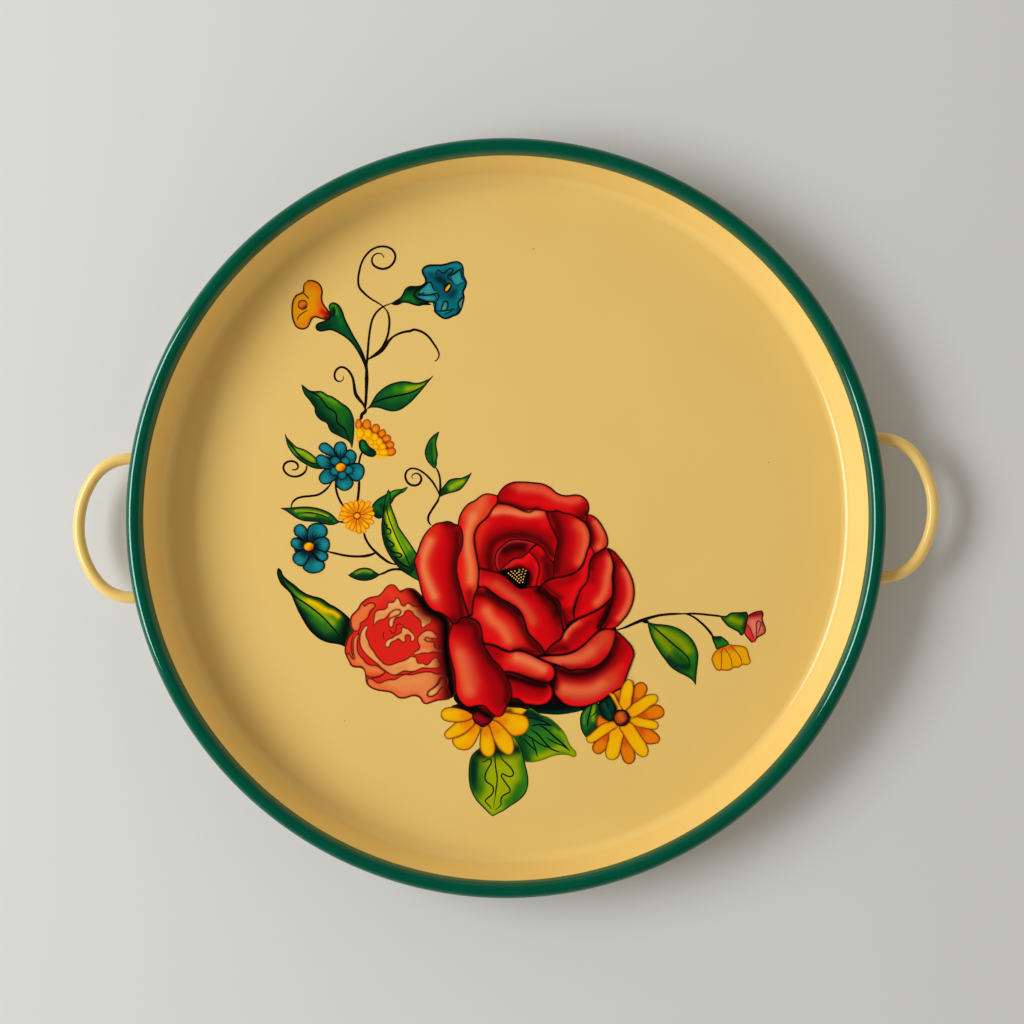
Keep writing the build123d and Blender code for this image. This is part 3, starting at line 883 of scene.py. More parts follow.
rightDaisyUnder = [
    xy(67,-109, 68.8,-103, 69.4,-98.5, 71.3,-96, 74,-95, 76.4,-96.3, 77.2,-98.8, 76.3,-101.6,
        74.5,-103.6, 71,-106),
    xy(69.4,-114.4, 75.5,-111.2, 79,-109, 82,-108.1, 85,-109.3, 86.5,-112, 85.8,-114.3, 83,-115.9,
        79.5,-116.2, 75,-116),
    xy(69,-119, 74,-120.4, 78,-121.7, 81.5,-124, 83.5,-127, 82.8,-129.3, 80,-130, 76,-129.7, 73,-126),
    xy(63.2,-123, 65.8,-128.6, 68.6,-133.3, 69.3,-136.5, 68.4,-139.8, 66,-141.2, 63.4,-139.8,
        61.8,-136.5, 61.2,-132.5, 62.2,-128),
    xy(55.8,-121.8, 54.2,-127.5, 53.3,-131.3, 51,-134, 48.3,-135, 46,-133.6, 45.4,-131, 46.8,-128.4,
        50,-126),
    xy(61.4,-107.6, 56.8,-101.4, 59.5,-98.4, 62.4,-98, 61.9,-103),
    xy(50,-113, 52.2,-115, 55.2,-117.4, 51.6,-118.4, 48.6,-119.4),
]
rightDaisyOver = [
    xy(63.6,-111.4, 61.2,-108.4, 61.6,-103, 62.6,-98.5, 64.5,-95, 66.5,-93.2, 68.5,-94, 69.3,-96.5,
        69.2,-100, 68.3,-104, 67.5,-107.9, 65.4,-110),
    xy(63.6,-112.4, 67.5,-108.1, 72,-105.3, 76.5,-102.7, 80,-101.9, 82.5,-102.6, 83.2,-104.8, 82,-107,
        79,-108.6, 75.5,-111.3, 71.5,-113.7, 67,-115.8),
    xy(64,-116, 70.5,-114.4, 75,-115.6, 79.5,-116.6, 82.4,-118, 83,-120, 81.5,-121.8, 78.5,-121.7,
        74.5,-120.8, 70,-119.7, 67.4,-117.8),
    xy(62.2,-117, 67,-117.3, 69.8,-120.5, 72.5,-125, 75.7,-130, 76.8,-133.5, 76,-136.5, 73.8,-137.4,
        71,-136, 68.5,-133, 65.5,-128.5, 63,-124, 60.8,-119.8),
    xy(60.4,-117.6, 61.5,-121.5, 63,-124, 62,-128.5, 61,-133, 59.6,-136.8, 57,-138.5, 54,-137.8,
        52.6,-135.2, 53.2,-131.5, 54.5,-127, 55.4,-122.5, 58,-120.4),
    xy(60.4,-117.4, 60,-119.7, 56,-122.2, 51.5,-125, 47.5,-127.5, 44.5,-128.7, 42.3,-127.6, 42,-126,
        44.5,-123.6, 48,-120.6, 51.5,-118, 54.5,-117.2),
    xy(63.6,-112.2, 60.9,-111.4, 59.4,-107.6, 56.8,-103, 55.4,-100.6, 57.9,-101, 60.5,-105.8,
        62.8,-109.6),
]


def petalLight(work, outline, base, middle, light, edge, inner, ink, inkName, rise=0.5):
    # a petal: lighter down its middle, darker where it leaves the flower's heart
    outline = np.array(outline)
    root = outline[0]
    tip = outline[np.argmax(np.linalg.norm(outline - root, axis=1))]
    at = [tuple(root + (tip - root) * share) for share in (0.0, 0.3, 0.45, 0.85)]
    width = 0.16 * np.linalg.norm(tip - root)
    addBlob(work, outline, base, touches=[
        (middle, [at[2], at[3]], width, light), (inner, [at[0], at[1]], width, 0.85)],
        rim=(edge, 0.6, 0.7), ink=ink, inkName=inkName, dome=0.4, rise=rise)


def disc(centre, radius, count=10, start=0.0, squash=1.0):
    angle = np.linspace(0, 2 * math.pi, count, endpoint=False) + start
    return np.column_stack([centre[0] + radius * np.cos(angle),
        centre[1] + radius * squash * np.sin(angle)])


def paintLeftDaisy():
    work = newPainting(daisyPalette, level=4)
    for number, outline in enumerate(leftDaisy):
        petalLight(work, outline, "amber", "gold", 0.9, "ink", "orange" if number < 6 else "shade",
                   0.4, "ink")
    work["level"] += 1
    heart = xy(-16,-118, -18.6,-116.6, -20.8,-115, -21.8,-112.6, -21.7,-109.6, -20,-106, -14,-105,
        -10,-108.4, -9.9,-111.4, -11.2,-114.2, -13.4,-116.4)
    addBlob(work, heart, "wine", touches=[
        ("black", xy(-20,-107.6, -15.6,-110, -12,-112.4), 2.1, 1.0),
        ("plum", xy(-12,-115, -16,-116.8, -20.6,-115), 1.4, 0.8)],
        rim=("plum", 0.8, 0.9), ink=0.6, inkName="black")
    shadow = xy(-34,-106.2, -30,-107, -26,-108.4, -21,-110.8, -18,-106, -26,-104)
    addBlob(work, shadow, "shade", touches=[("black", xy(-28,-106, -20,-108), 2)])
    shadow = xy(-4,-104, -2.6,-106.6, 1,-107.4, 5,-107.7, 9.6,-108.6, 10,-104)
    addBlob(work, shadow, "shade", touches=[("black", xy(-2,-105, 8,-106), 1.4)])
    return finishPainting(work, "painted_daisy_left")


def paintRightDaisy():
    work = newPainting(daisyPalette, level=4)
    for outline in rightDaisyUnder:
        petalLight(work, outline, "orange", "orange", 0.9, "sienna", "rust", 0.45, "sienna")
    work["level"] += 1
    roseHeight = 26  # layers of the rose that the two petals touching it lie over
    for number, outline in enumerate(rightDaisyOver):
        over = roseHeight if number in (0, 6) else 0
        work["level"] += over
        petalLight(work, outline, "yellow", "gold", 0.8, "umber", "amber", 0.35, "ink")
        work["level"] -= over
    work["level"] += roseHeight + 1
    addBlob(work, disc((62.1, -114.8), 4.5, start=0.6), "ember", touches=[
        ("flame", xy(61.4,-113, 62.6,-115.6), 1.6, 0.9),
        ("plum", xy(65.6,-112.6, 66,-116.4, 63,-118.6), 1.3, 0.9)],
        rim=("black", 0.9, 0.9), ink=0.7, inkName="black")
    return finishPainting(work, "painted_daisy_right")


paintLeftDaisy()


# the rose, from its back petals forward
rosePalette = dict(red="#d4040f", bright="#ee1318", rust="#e0371b", glow="#ee7444",
                   peach="#f18c56", clay="#d25a35", wine="#94030b", deep="#560305",
                   night="#220102", ink="#1a0102", black="#050202", thin="#c23a34", seed="#e6ac40",
                   pale="#f4d686")
rosePetals = [
    # the outer lobe over the top
    dict(left=xy(-4.6,8.4, -4.5,10.6, -4.3,13, -2,16.3, 0.4,18.4, 4,19.9, 10,20.1, 16,19.5, 22,18.4,
            26,16.1, 29,13.3, 32,12, 35.5,11.6, 39,12, 43,11.2, 45.9,8.7, 47.1,5, 46.4,0.8),
        right=xy(-4.6,8.4, -1,8, 3.2,6.9, 7.5,5, 11,3.4, 13.5,3, 15.8,4.2, 19,4.2, 23,3.1, 26,2.9,
            29.5,3.2, 32,2, 36,1.1, 39.5,-0.3, 42.5,-2.2, 44.8,-3.6, 46.4,0.8),
        base="red", touches=[
            ("wine", xy(-4,11, -1,13.5, 2,16.5), 3.2, 0.55),
            ("deep", xy(-4,9, 1,8, 6,6.4, 12,4.4, 18,5), 1.7, 0.85),
            ("glow", xy(9,17, 16,16.3, 23,14.4, 29,10.6, 35,8.9, 41,9.4), 3.2, 0.7),
            ("clay", xy(4,17.5, 12,18, 20,17), 2, 0.44),
            ("bright", xy(14,8, 24,7, 34,5), 2, 0.5),
            ("deep", xy(42.5,-0.6, 45.3,1.5), 2.8, 0.95), ("wine", xy(41,3, 46,6), 2.6, 0.55)]),
    # far left petal
    dict(left=xy(-31.9,-59.4, -33.2,-57.3, -36,-54.3, -39,-52.6, -43,-51, -46.4,-47, -48.5,-42,
            -49.6,-37, -50.6,-32, -51.8,-27, -52.4,-22, -51,-19, -49.9,-16, -48.4,-12, -46,-7.7,
            -42.6,-3.9),
        right=xy(-31.9,-59.4, -29.6,-59, -27.2,-56, -23.2,-55.2, -24.3,-49.5, -26.2,-42.5, -28.1,-35,
            -29,-29.5, -28.8,-25.5, -28,-21.3, -26.3,-17.8, -25.3,-14, -25,-10, -25.7,-6.2, -27.2,-3.2,
            -29,-3, -30.6,-1.9, -33,-1, -36,-1.5, -39.5,-2, -42.6,-3.9),
        base="red", touches=[
            ("rust", xy(-41,-6, -45,-14, -47,-24, -45,-36, -41,-47), 5, 0.75),
            ("peach", xy(-43.3,-12, -46.3,-18, -48,-24, -46.8,-31, -44.6,-37, -42,-43), 3.2, 0.84),
            ("bright", xy(-50.5,-21, -51,-28, -48.8,-38, -45,-47, -39,-51), 1.7, 0.8),
            ("wine", xy(-31,-5, -29.5,-12, -30.5,-22, -31,-34, -30,-46, -30,-56), 4.5, 0.87),
            ("deep", xy(-28,-8, -28,-16, -30,-26, -29.6,-34, -27.5,-44, -26.5,-54), 2.1, 0.9),
            ("deep", xy(-34.5,-2, -30,-3.5), 1.9, 0.8), ("deep", [(-31, -57.5)], 3.5, 0.8)]),
    # the upright petal beside it
    dict(left=xy(-22.4,-54.6, -24.2,-49.3, -26.1,-42.3, -28,-34.5, -28.9,-29, -28.7,-25.3, -27.8,-20.9,
            -26.1,-17.3, -25.1,-13.5, -24.9,-9.5, -25.7,-5.8, -27.1,-3, -26.7,-0.2, -25,4, -22.6,7.2,
            -20,9.2, -17.5,10.2, -15,12.1, -13,13.4, -10.8,14, -7.8,13.7, -4.6,12.8),
        right=xy(-22.4,-54.6, -20.9,-53.6, -20.4,-50, -19.6,-45, -17.6,-40.3, -16.5,-35, -16.3,-29,
            -16.9,-23.7, -17.8,-18, -18.4,-13, -18.2,-8.7, -16.8,-5.4, -14.8,-2.8, -12,-0.6, -9.4,2.4,
            -7.2,5.8, -4.9,8.4, -4.6,12.8),
        base="rust", touches=[
            ("bright", xy(-26,-1, -25.7,-16, -27.5,-28, -25.5,-40, -22.8,-51), 2.4, 0.9),
            ("glow", xy(-13,10.5, -15.5,6, -18.8,1.5), 4.1, 0.7),
            ("peach", xy(-18.5,1, -21,-5, -22.3,-12, -21.8,-20, -20.6,-28, -20.8,-35), 2.7, 0.84),
            ("bright", xy(-5.5,11.5, -7.5,9.5), 2.4, 0.8),
            ("wine", xy(-21.8,-42, -22.2,-52), 2.6, 0.83)]),
    # the back of the bowl, with the turned-over band at its top
    dict(ink=(0.5, 0), left=xy(-15.8,-27.9, -16.9,-23.5, -17.6,-18, -18.2,-13, -18,-8.5, -16.6,-5.2,
            -14.6,-2.6, -11.8,-0.4, -9.2,2.6, -7,6, -4.7,8.2),
        right=xy(-5.6,-30.8, -5,-26, -2,-19, 5,-15, 14,-17, 21,-22, 26.4,-26, 28.2,-18, 29,-14,
            28,-10.8, 25.5,-5.6, 23.4,0.4, 22.4,3.1, 19,4.2, 15.8,4.1, 13.5,2.9, 11,3.3, 7.5,4.9,
            3.2,6.8, -1,7.9, -4.7,8.2),
        base="red", touches=[
            ("rust", xy(-12,-3, -15,-9, -14.8,-17), 3.2, 0.75),
            ("glow", xy(-7.5,3.4, -3,5, 3,4, 9,2.2, 15,2, 20,1.8), 2.8, 0.84),
            ("peach", xy(-6.5,3.2, -1.5,3.4, 6,2.6, 13,1.4, 17.5,2), 1.6, 0.7),
            ("wine", xy(-13.5,-26, -11.5,-15, -5,-8.5, 6,-7.5, 17,-8.5, 26,-13), 3.6, 0.74),
            ("deep", xy(-9.5,-28, -10,-20, -7.5,-14, -1,-10.5, 7,-9.8, 15,-11.5, 21,-15, 25,-21), 2.6,
                0.95),
            ("bright", xy(21.5,-4, 23,-1), 2.2, 0.6)]),
    # the hollow, dark at the back
    dict(left=xy(-5.4,-30.3, -7,-26, -6.8,-21.7, -5.6,-18.4, -2.3,-15.3, 1.2,-12.9, 5,-12.2, 10,-12.7,
            14.5,-14, 18.2,-15.8, 20.6,-17.8, 22.2,-20.6, 23.6,-23.4, 25.8,-25.2),
        right=xy(-5.4,-30.3, 0,-35, 6,-39.8, 12,-39.6, 18.5,-39.2, 22,-36.4, 25.8,-34.6, 25.8,-25.2),
        base="wine", touches=[
            ("red", xy(14.2,-17.5, 17.5,-17.2, 19.5,-20.5), 2.6, 0.95),
            ("red", xy(18.6,-27, 18.4,-33, 17,-38.5), 1.5, 0.9),
            ("night", xy(-1,-18.5, 4,-16.8, 9,-16.8), 2.8, 0.8),
            ("thin", xy(-5.6,-28.6, -6,-22, -3.4,-17.2, 1.8,-13.7, 8,-13.3, 15.5,-15.2), 0.7, 0.75),
            ("deep", xy(23.5,-28, 23,-35), 2.6, 0.8), ("deep", xy(21,-23, 22.5,-30), 1.8, 0.6)]),
    # the petal curled round the stamens
    dict(left=xy(-4.6,-30, -2.3,-27.6, 0.4,-25.5, 2.8,-23.7, 5.2,-22.8, 8,-22.6, 10.2,-21, 12.4,-19.2),
        right=xy(-4.6,-30, 0,-35.2, 6,-39.9, 12,-39.6, 15.9,-39.2, 16.8,-35.4, 18,-31.4, 18.3,-28.4,
            17.4,-25.2, 15.2,-22, 12.4,-19.2),
        base="red", touches=[
            ("bright", xy(0.5,-27, 4.5,-24.8, 9,-24.2, 12.5,-21.5), 1.8, 0.8),
            ("thin", xy(-3.8,-29.6, 1.4,-25.4, 4.6,-23.6, 8.4,-23.4), 0.6, 0.6),
            ("wine", xy(13.5,-28, 14.2,-35), 1.8, 0.46),
            ("night", xy(1,-30, 8,-28.2, 12.4,-32, 12,-38), 1.4, 0.85),
            ("bright", xy(15.8,-26, 16.7,-30, 15.4,-37), 0.9, 0.6)]),
    # right inner petal
    dict(left=xy(26,-34.6, 26.1,-29, 26.6,-23.6, 28,-18.3, 29,-13.6, 27.6,-9.6, 25.2,-4.6, 23,3),
        right=xy(26,-34.6, 30.5,-34.1, 35.5,-33, 39.4,-31, 42.1,-28, 43.9,-24.4, 45.2,-20.3, 46.6,-16.9,
            47.2,-13.5, 47.2,-10, 46.2,-6.6, 44.5,-3.9, 42,-2.1, 39,-0.1, 36,1.2, 32,2.1, 29.5,3.2,
            26,3, 23,3),
        base="red", touches=[
            ("wine", xy(30,1, 32,-10, 31,-22, 33,-31), 4.6, 0.78),
            ("deep", xy(26.5,1.5, 29,-5, 30.4,-12, 28.6,-21, 27.8,-31), 2.5, 0.95),
            ("glow", xy(41,-5, 43.8,-9, 44.4,-14, 43,-20, 41,-25.5), 3.3, 0.84),
            ("rust", xy(40.5,-5, 41,-14, 39.8,-24), 2.2, 0.5),
            ("wine", xy(30,-32.5, 37,-31), 1.8, 0.64)]),
    # far right small petal, behind
    dict(left=xy(49.2,-22, 48.2,-19.4, 47.4,-16.4, 47.6,-11, 46.9,-7, 45,-3.6, 45.6,-1.4, 46.4,0.7),
        right=xy(49.2,-22, 52,-20.5, 54.5,-19.1, 56.4,-17.9, 57.1,-14.6, 56.6,-11.4, 55,-7.6, 52.9,-4,
            50.5,-1.2, 48.3,0.3, 46.4,0.7),
        base="red", touches=[
            ("deep", xy(46.6,-3.5, 48.2,-9, 48.5,-15.5), 1.7, 0.95),
            ("glow", xy(51,-4, 53.4,-9, 54.4,-13.5, 52.2,-18), 2.6, 0.84),
            ("rust", xy(55.5,-12, 55,-17), 1.4, 0.7)]),
    # far right outer petal
    dict(left=xy(57.5,-64.4, 52,-63.9, 54.8,-58.5, 57.4,-52.4, 59,-47, 59.7,-42, 59.7,-35, 60.3,-28.5,
            59,-22.9, 56.9,-18.4),
        right=xy(57.5,-64.4, 60.6,-63.4, 64,-60.2, 67.5,-56, 70,-51, 71.3,-45, 71,-39.3, 69.3,-33.8,
            66.4,-28.4, 63,-23.6, 60.1,-20.2, 56.9,-18.4),
        base="red", touches=[
            ("wine", xy(59,-21, 62,-29, 61.5,-40, 60,-50, 57,-60), 3, 0.74),
            ("deep", xy(60.6,-27, 60.2,-36, 60,-45, 57,-54, 54,-63), 1.7, 0.95),
            ("glow", xy(66.3,-31.5, 68.6,-38, 68.9,-45, 67,-52, 62.6,-58.5), 2.3, 0.84),
            ("bright", xy(60,-62.5, 57.5,-63.5), 1.4, 0.8)]),
    # the crimson fold behind the right-hand petals
    dict(left=xy(31.4,-64.6, 30.4,-62.6, 29.4,-57, 29.3,-50, 28.3,-47.4, 24.2,-44.6, 20.5,-41.2,
            18.4,-39.4, 21.6,-36.7, 26,-34.9, 33,-33.9, 38.6,-31.8, 42.2,-28.6, 44.1,-24.4, 45.6,-19.6,
            47,-16.6),
        right=xy(31.4,-64.6, 34,-60.6, 37.2,-58.4, 36.5,-55, 37.3,-50.3, 39.4,-45.2, 41.1,-41.5,
            44.3,-38, 45.7,-34, 46.1,-29.5, 47.1,-25, 49.2,-21.9, 47,-16.6),
        base="red", touches=[
            ("wine", xy(21,-38, 27,-38, 33,-37, 39,-34), 2.6, 0.69),
            ("deep", xy(20,-39, 25,-42.5, 29.5,-46), 1.9, 0.7),
            ("bright", xy(46.5,-20, 44.4,-28, 43,-35, 38,-42, 35,-50), 2.2, 0.7),
            ("deep", xy(31,-54, 32.6,-61), 2.3, 0.95), ("wine", xy(34.5,-53, 35,-58), 2, 0.64)]),
    # right-hand petal with the long highlight
    dict(left=xy(37.3,-58.6, 36.9,-55, 37.9,-50.3, 39.7,-45, 41.5,-41.3, 45,-37, 46,-33, 46.4,-28.2,
            47.8,-24.5, 50.1,-21.7, 53.6,-19.8, 56.6,-18.6),
        right=xy(37.3,-58.6, 40.2,-57.5, 44.6,-55.8, 48.6,-54, 52.9,-51.6, 56,-49, 58.7,-46.2, 59.3,-42,
            59.2,-35, 60,-28.8, 59.2,-24.4, 56.6,-18.6),
        base="red", touches=[
            ("wine", xy(55,-21, 51,-24, 48.8,-30, 48,-36), 2.8, 0.74),
            ("deep", xy(53.5,-21, 49.5,-24, 47.6,-30), 1.3, 0.8),
            ("glow", xy(57.8,-25, 57.7,-30, 56.3,-35, 55.3,-41, 53,-46, 50,-49.6), 2.8, 0.84),
            ("wine", xy(40.5,-45, 38.6,-53), 1.8, 0.55),
            ("bright", xy(46,-52.5, 42,-54.5), 1.8, 0.4)]),
    # lower left of the heart, with the broad orange light
    dict(left=xy(-23.4,-55.8, -21,-54.6, -20.3,-50, -19.5,-45, -17.7,-40.6, -16.4,-38.8, -13,-39.1,
            -9,-42.2, -4.5,-45.5, 1,-48.7, 4.7,-51.5, 7.3,-55, 8.9,-60, 10.3,-65, 13.8,-69.3,
            17.5,-73.4, 20,-77),
        right=xy(-23.4,-55.8, -19.4,-56.8, -17,-59, -15.8,-62.5, -15.4,-67, -14.2,-70.6, -11.5,-71,
            -7.5,-72.2, -3.5,-74.2, 0,-75.5, 3.6,-74.9, 7.5,-75.5, 11,-76.9, 14,-78.4, 17,-78.2,
            20,-77),
        base="red", touches=[
            ("bright", xy(-18,-55, -13,-64, -6,-71), 3.5, 0.6),
            ("deep", xy(-17,-42.5, -12.5,-43.3, -6.5,-48, 0.5,-52, 5,-57, 8,-64, 12,-70.5, 17.5,-76),
                2.6, 1),
            ("night", xy(-12,-41, -5,-46.6, 2,-50.6, 6.3,-55), 1.2, 0.8),
            ("rust", xy(-13,-52, -6,-59, 2,-64, 5,-70), 4.2, 0.6),
            ("glow", xy(-12.4,-52.4, -10,-57, -5.5,-61, -2.2,-65.5, -0.6,-69), 3.7, 0.88),
            ("deep", xy(3,-75, 8,-74.6, 14,-77.4), 1.5, 0.85)]),
    # the front diagonal petal
    dict(left=xy(-15.8,-28.1, -16.4,-33, -16.5,-38.4, -13,-38.8, -9,-41.8, -4.5,-45.2, 1,-48.4,
            4.9,-51.2, 7.6,-54.9, 9.2,-60, 10.7,-65, 14.1,-69, 17.7,-73, 20,-76.8),
        right=xy(-15.8,-28.1, -10,-29.7, -5,-31, -1.6,-33, 2,-36.2, 6.6,-39.9, 12,-39.6, 17.6,-39.4,
            20.5,-41, 24,-44.4, 28.1,-47.4, 29.3,-50, 29.3,-57, 30.3,-62.6, 30.4,-66.4, 29,-69.1,
            26,-71.1, 22.7,-73.7, 20,-76.8),
        base="red", touches=[
            ("wine", xy(-13,-30, -6,-32.6, 0,-37, 7,-42, 14,-42), 2.6, 0.64),
            ("rust", xy(-12,-37, -5,-41, 3,-46, 9,-52, 13,-60), 3.4, 0.7),
            ("clay", xy(-6,-37.8, 0,-43, 5.6,-47.6, 9.6,-52.6, 13,-58), 3.2, 0.7),
            ("bright", xy(-15,-37, -8,-41, 0,-46.6, 6.5,-52, 10.5,-61, 14,-67), 1.2, 0.8),
            ("wine", xy(18,-45, 22.5,-51, 26,-58, 28,-66), 4.2, 0.69),
            ("night", xy(17.5,-41.4, 22,-45, 26.3,-49.2, 27.8,-55), 2.6, 1),
            ("deep", xy(20,-46, 25,-53, 28.6,-60), 2.3, 0.7),
            ("thin", xy(-15.3,-29.5, -15.7,-34, -15.6,-38), 0.6, 0.6)]),
    # lower left big petal, hanging
    dict(left=xy(-7.5,-112.5, -10,-111.5, -12.5,-109, -15,-106.6, -18,-105.7, -21,-106.1, -24,-106.5,
            -27,-105, -29.5,-101.8, -31,-97.8, -31.3,-92, -31.6,-87, -32.7,-82, -33.8,-77, -34.5,-71.3,
            -34.3,-66, -33.2,-62, -31.8,-59.4, -29.4,-58.7, -27.4,-56.1, -24,-55.8),
        right=xy(-7.5,-112.5, -5,-111.4, -3.5,-108.4, -1.1,-104.5, 0.6,-100.4, 0.1,-96, -1.4,-91.6,
            -3.7,-87, -6.4,-83, -9.4,-80.4, -12.4,-76, -14.8,-71, -15.4,-67, -15.8,-62.4, -17.2,-59.2,
            -19.8,-57.1, -24,-55.8),
        base="red", touches=[
            ("wine", xy(-28,-60, -22,-64, -19,-72, -13,-84, -8,-96, -8,-106), 5.5, 0.78),
            ("rust", xy(-31,-72, -29,-84, -26,-98), 4.8, 0.8),
            ("glow", xy(-27.8,-77, -26,-84, -24.4,-91, -23.4,-97), 4.8, 0.79),
            ("clay", xy(-23,-80, -20,-92), 3.7, 0.44),
            ("bright", xy(-33.6,-68, -32.4,-80, -30.6,-92, -29,-100, -24,-104.8, -18,-103.8), 1.7, 0.9),
            ("deep", xy(-28,-57.5, -20,-60, -17.4,-68, -12,-79, -6,-87, -2,-96, -2.5,-104), 2.8, 0.95),
            ("red", xy(-9,-110, -13,-105), 2.4, 0.7)]),
    # the short petal under the heart
    dict(left=xy(-3.6,-86.9, -6.4,-83.1, -9.4,-80.2, -12.4,-75.6, -14.4,-71.1, -11.5,-71.5, -7.5,-72.8,
            -3.5,-74.9, 0,-75.9, 4,-75.4, 8,-76, 12,-77.7, 15,-79.4, 18,-81, 22,-82.8, 24.4,-84.7,
            25.3,-87.6),
        right=xy(-3.6,-86.9, 0,-87, 3.5,-88, 7.5,-89.6, 11,-91, 15,-92.6, 19,-93.7, 22.6,-93,
            24.7,-90.8, 25.3,-87.6),
        base="red", touches=[
            ("wine", xy(-12,-73.6, -7,-77), 3.4, 0.83),
            ("rust", xy(-1,-81, 6,-84, 14,-88), 3.2, 0.7),
            ("peach", xy(4,-79, 9.5,-81, 15,-83.6, 18.5,-86), 3.8, 0.88),
            ("bright", xy(-3,-84.5, 3,-86.5), 2, 0.6),
            ("deep", xy(5,-89.6, 12,-91.6, 19,-92.9), 1.6, 0.9),
            ("bright", xy(23.6,-86.6, 23,-90), 1.4, 0.7)]),
    # the dark one below it
    dict(left=xy(-3.6,-87.4, 0,-87.4, 5,-89.1, 10,-91.3, 15,-93.1, 19,-94.1, 21.8,-94.8, 23.4,-97,
            23.8,-100),
        right=xy(-3.6,-87.4, -1.4,-91.6, 0.2,-97, 1,-102.2, 3.2,-102.4, 5.6,-103.8, 8,-105.5, 11,-106,
            15,-106.5, 19,-106, 22.4,-103.6, 23.8,-100),
        base="red", touches=[
            ("wine", xy(2,-94, 10,-97, 18,-99), 4, 0.74),
            ("night", xy(-1.5,-89.4, 5,-91.4, 12,-94, 19,-95.6), 2.1, 1),
            ("bright", xy(7,-104, 13,-105, 19,-104.4, 22,-101), 1.5, 0.8)]),
    # lower right inner petal
    dict(left=xy(20,-77.4, 22.6,-74, 26,-71.4, 29.2,-69.2, 31.4,-65.2, 34.6,-61.6, 38.6,-58.8, 44,-56.4,
            49,-54.3, 54,-51.4, 57,-48.8, 58.7,-46.6),
        right=xy(20,-77.4, 25,-78.2, 30,-78, 35,-76.8, 40,-74.4, 44,-71, 48,-67.4, 50.8,-64.7, 52.2,-62,
            55.4,-55.6, 57.7,-50.6, 58.7,-46.6),
        base="red", touches=[
            ("wine", xy(27,-74, 36,-69, 44,-62, 51,-57), 3.4, 0.64),
            ("glow", xy(31.4,-68, 33,-64.6, 36.6,-61.4, 39.4,-60), 2.2, 0.88),
            ("deep", xy(22,-76.6, 27,-74.6, 32,-74.6), 1.9, 0.8),
            ("night", xy(50.6,-63.2, 54,-56.6, 57,-50.6), 1.6, 0.9),
            ("bright", xy(40,-60.6, 47,-57), 1.4, 0.5)]),
    # lower right petal with the golden light
    dict(left=xy(16.6,-79, 21,-78.6, 26,-78.6, 31,-78.3, 36,-76.9, 40.4,-74.4, 44.8,-70.7, 48.6,-67.1,
            52,-65, 56,-64.3, 60.2,-65.2),
        right=xy(16.6,-79, 18.6,-80.8, 22.4,-82.5, 26.6,-83.9, 30.5,-85.6, 34,-87, 38,-86.7, 43,-86.8,
            48,-85.6, 52.2,-83, 55.7,-79, 58.6,-73.6, 60,-68.4, 60.2,-65.2),
        base="red", touches=[
            ("clay", xy(24,-80.6, 33,-80.6, 42,-79, 49,-74, 54,-69), 5.1, 0.79),
            ("glow", xy(27,-80.6, 34,-80.9, 40,-80, 46,-76.5), 3.2, 0.7),
            ("wine", xy(30,-84.6, 36,-85.6, 45,-85), 1.4, 0.64),
            ("rust", xy(56.4,-68, 55,-75), 2, 0.6)]),
    # bottom right outer petal
    dict(left=xy(25,-100.8, 24.5,-97, 25.4,-93, 25.9,-88, 25.4,-84.6, 29,-85.2, 33.6,-87.2, 38,-87,
            44,-86.9, 49,-85.5, 53.2,-82.4, 56.4,-78.4, 59,-73.4, 60.4,-68, 60.6,-65.4),
        right=xy(25,-100.8, 27.4,-103.4, 30,-106, 34,-107.6, 40,-108, 46,-106.7, 52,-104.2, 56.5,-101,
            60,-99.2, 63.2,-97.4, 65,-93.2, 67,-88, 69,-83, 70.3,-79, 69.2,-75, 66,-70.8, 62.6,-67.2,
            60.6,-65.4),
        base="red", touches=[
            ("wine", xy(31,-92, 42,-92.6, 53,-89, 61,-80, 65,-74), 3.4, 0.69),
            ("clay", xy(31,-99, 40,-101, 50,-98.6, 57,-93), 5.4, 0.79),
            ("glow", xy(30.5,-97.4, 38,-98.4, 46,-98, 52,-95), 3.4, 0.75),
            ("rust", xy(56,-92, 63,-86), 2.6, 0.6),
            ("deep", xy(26.6,-87, 34,-89.8, 44,-89.5, 52,-86, 58,-79, 61.4,-70), 2.4, 0.95),
            ("night", xy(27,-86.6, 34,-88.8, 44,-88.4, 51,-85.5, 57,-79), 1.2, 0.8),
            ("deep", xy(25.6,-97, 26.4,-91), 1.4, 0.8),
            ("bright", xy(30,-104.4, 38,-106.6, 48,-105, 56,-100), 1.6, 0.9)]),
]


